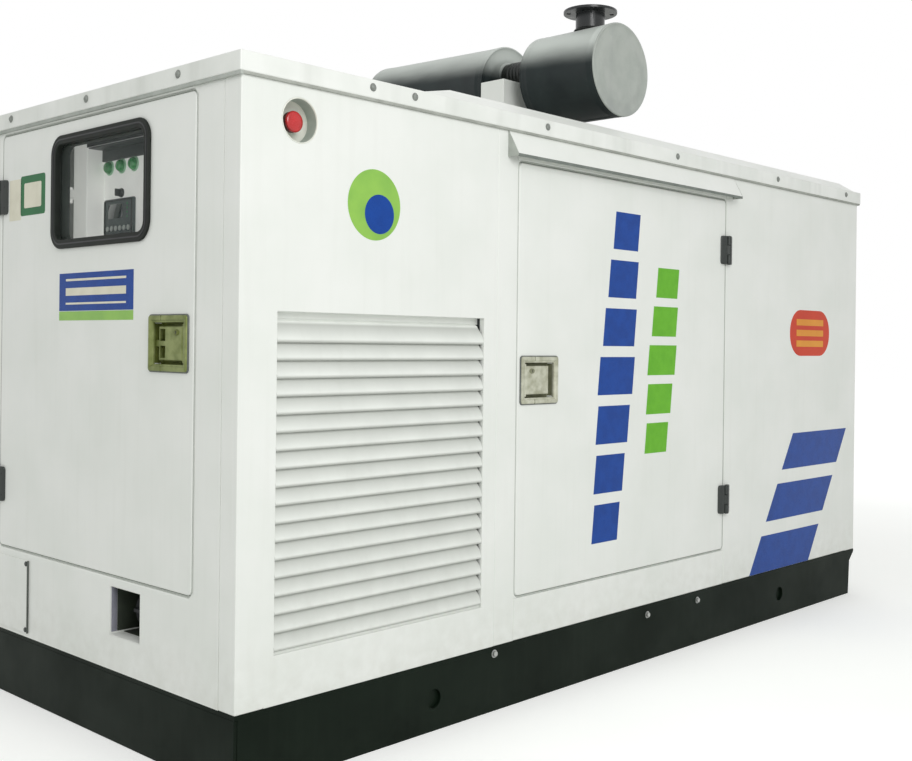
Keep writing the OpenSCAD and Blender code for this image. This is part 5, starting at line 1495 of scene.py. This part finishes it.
print("engine and radiator done")

# alternator: cast end brackets with slots, a lapped barrel, terminal box lid and screws, and a cable
alternatorLow, alternatorHigh = box("alternator")
x0, x1, radius, boxTop = alternatorLow[0], alternatorHigh[0], alternatorHigh[1], alternatorHigh[2]
rings = [(radius + 0.0002, 0.0), (radius + 0.006, 0.004), (radius + 0.006, 0.04), (radius + 0.0002, 0.044),
         (radius - 0.006, 0.044), (radius - 0.006, 0.0), (radius + 0.0002, 0.0)]
addPiece("alternatorBands", turned(rings, [(x, 0, crankAt) for x in (x0 + 0.01, x0 + 0.29, x1 - 0.064)],
                                   "x", 96), machineDark)
slots = [bentTube([(x0 - 0.0008, r * math.cos(a), crankAt + r * math.sin(a))
                   for r in np.linspace(0.11, 0.22, 4)], 0.009, 10) for a in np.arange(18) * np.pi / 9]
addPiece("alternatorAirSlots", joined(*slots), darkPlastic)
bearing = toAxis((0.06, -0.012), (0.066, -0.008), (0.066, 0.0))
addPiece("alternatorBearingCover", turned(bearing, [(x0, 0, crankAt)], "x", 40), castAluminium)
lidFrom, lidTo = x0 + 0.056, x0 + 0.364
lid = softBoxes([lidFrom, -0.184, boxTop - 0.018], [lidTo, 0.184, boxTop + 0.0035], 0.004, 3)
addPiece("terminalBoxLid", lid, machineDark)
screw = [(0, 0), (0.006, 0), (0.0062, 0.003), (0.0045, 0.0045), (0, 0.0047)]
screws = turned(screw, [(x, y, boxTop + 0.0031) for x in (lidFrom + 0.018, lidTo - 0.018)
                        for y in (-0.166, 0.0, 0.166)], "z", 20)
addPiece("terminalBoxScrews", screws, boltZinc)
loom = curved([(x0 + 0.07, -0.1, boxTop - 0.06), (x0 - 0.05, -0.12, boxTop - 0.05),
               (x0 - 0.16, -0.05, boxTop - 0.02), (x0 - 0.255, 0.02, 1.16)], 12)
cables = [bentTube(loom + (0, y, z), 0.0125, 14) for y, z in ((0, 0), (0.029, 0.004), (0.014, 0.027))]
addPiece("powerCables", joined(*cables), rubber)
# battery on the deck with its terminals, clamp and leads
battery = {"low": (-1.42, -0.64), "high": (-1.02, -0.47), "tall": 0.22, "lid": 0.032, "postY": -0.6}
low, high = np.array([*battery["low"], baseTop]), np.array([*battery["high"], baseTop + battery["tall"]])
head, postY = high[2], battery["postY"]
case = softBoxes(low, high - [0, 0, 0.02], 0.006, 3)
lid = softBoxes([low[0] - 0.003, low[1] - 0.003, head - battery["lid"]], high + [0.003, 0.003, 0], 0.005, 3)
addPiece("starterBattery", joined(case, lid), darkPlastic)
posts = turned([(0, 0), (0.0095, 0), (0.0085, 0.017), (0, 0.018)],
               [(x, postY, head - 0.0005) for x in (-1.38, -1.06)], "z", 20)
strap = softBoxes([-1.235, -0.648, head - 0.001], [-1.205, -0.462, head + 0.003], 0.0012)
addPiece("batteryPostsAndStrap", joined(posts, strap), boltZinc)
routes = ([(-1.38, postY, head + 0.01), (-1.34, -0.56, head + 0.045), (-1.24, -0.42, baseTop + 0.12),
           (-1.16, -0.33, baseTop + 0.02)],
          [(-1.06, postY, head + 0.01), (-1.0, -0.56, head + 0.05), (-0.8, -0.46, baseTop + 0.3),
           (-0.52, -0.372, crankAt - 0.1)])
addPiece("batteryLeads", joined(*[bentTube(curved(route, 10), 0.0075, 12) for route in routes]), rubber)
print("alternator and battery done")

# rubber mounts: a washer and a nut on the bolt through each foot plate
feet = [(x, y, machine["footTop"]) for x in (engineLow[0] + 0.15, engineHigh[0] - 0.11)
        for y in (-half - 0.05, half + 0.05)]
washers = turned(toAxis((0.026, 0), (0.026, 0.004)), feet, "z", 28)
nuts = turned(toAxis((0.015, 0.004), (0.0155, 0.017), (0.0135, 0.0195)), feet, "z", 6)
addPiece("mountBolts", joined(washers, nuts), boltZinc)

# the back door's latch: a pressed frame, a shallow dished pan and a paddle, like the service side's
backLatch = {"at": (-0.607, 1.0805), "frame": (0.202, 0.166), "paddle": (0.124, 0.115)}
centre, outer, inner = (np.array(backLatch[key]) for key in ("at", "frame", "paddle"))
frameShape = roundedRect(centre - outer / 2, centre + outer / 2, 0.012, 6)
section = [(0.0, 0.0005), (0.0, 0.006), (0.002, 0.0085), (0.02, 0.0085), (0.0235, 0.006), (0.0235, 0.0005)]
addPiece("backLatchFrame", ringBand(frameShape, section, onBack), paleZinc)
pan = plate(frameShape, [(0.02, 0.0003), (0.02, 0.0022), (0.03, 0.0014)], onBack)
addPiece("backLatchPan", pan, palePan)
paddle = plate(roundedRect(centre - inner / 2, centre + inner / 2, 0.006, 5),
               [(0, 0.0012), (0, 0.0055), (0.0012, 0.0068), (0.014, 0.0068), (0.02, 0.0045)], onBack)
addPiece("backLatchPaddle", paddle, paleZinc)

# seams of the roof's raised part
beads = [softBoxes([x - 0.004, crownLow[1] + 0.1, crownHigh[2] - 0.002],
                   [x + 0.004, crownHigh[1] - 0.1, crownHigh[2] + 0.0016], 0.0016) for x in (0.64, 1.24)]
addPiece("roofSheetBeads", joined(*beads), whiteEnamel)
# flush rivets down the radiator end, beside its louvre
rivet = [(0, 0.0002), (0.006, 0.0002), (0.0058, 0.0014), (0.0036, 0.0028), (0, 0.0032)]
rivets = turned(rivet, [(box("radiator_end_wall")[1][0], y, z) for y in (-0.64, 0.64)
                        for z in np.linspace(0.33, 1.81, 6)], "x", 20)
addPiece("radiatorEndRivets", rivets, whiteEnamel)
print("back done")
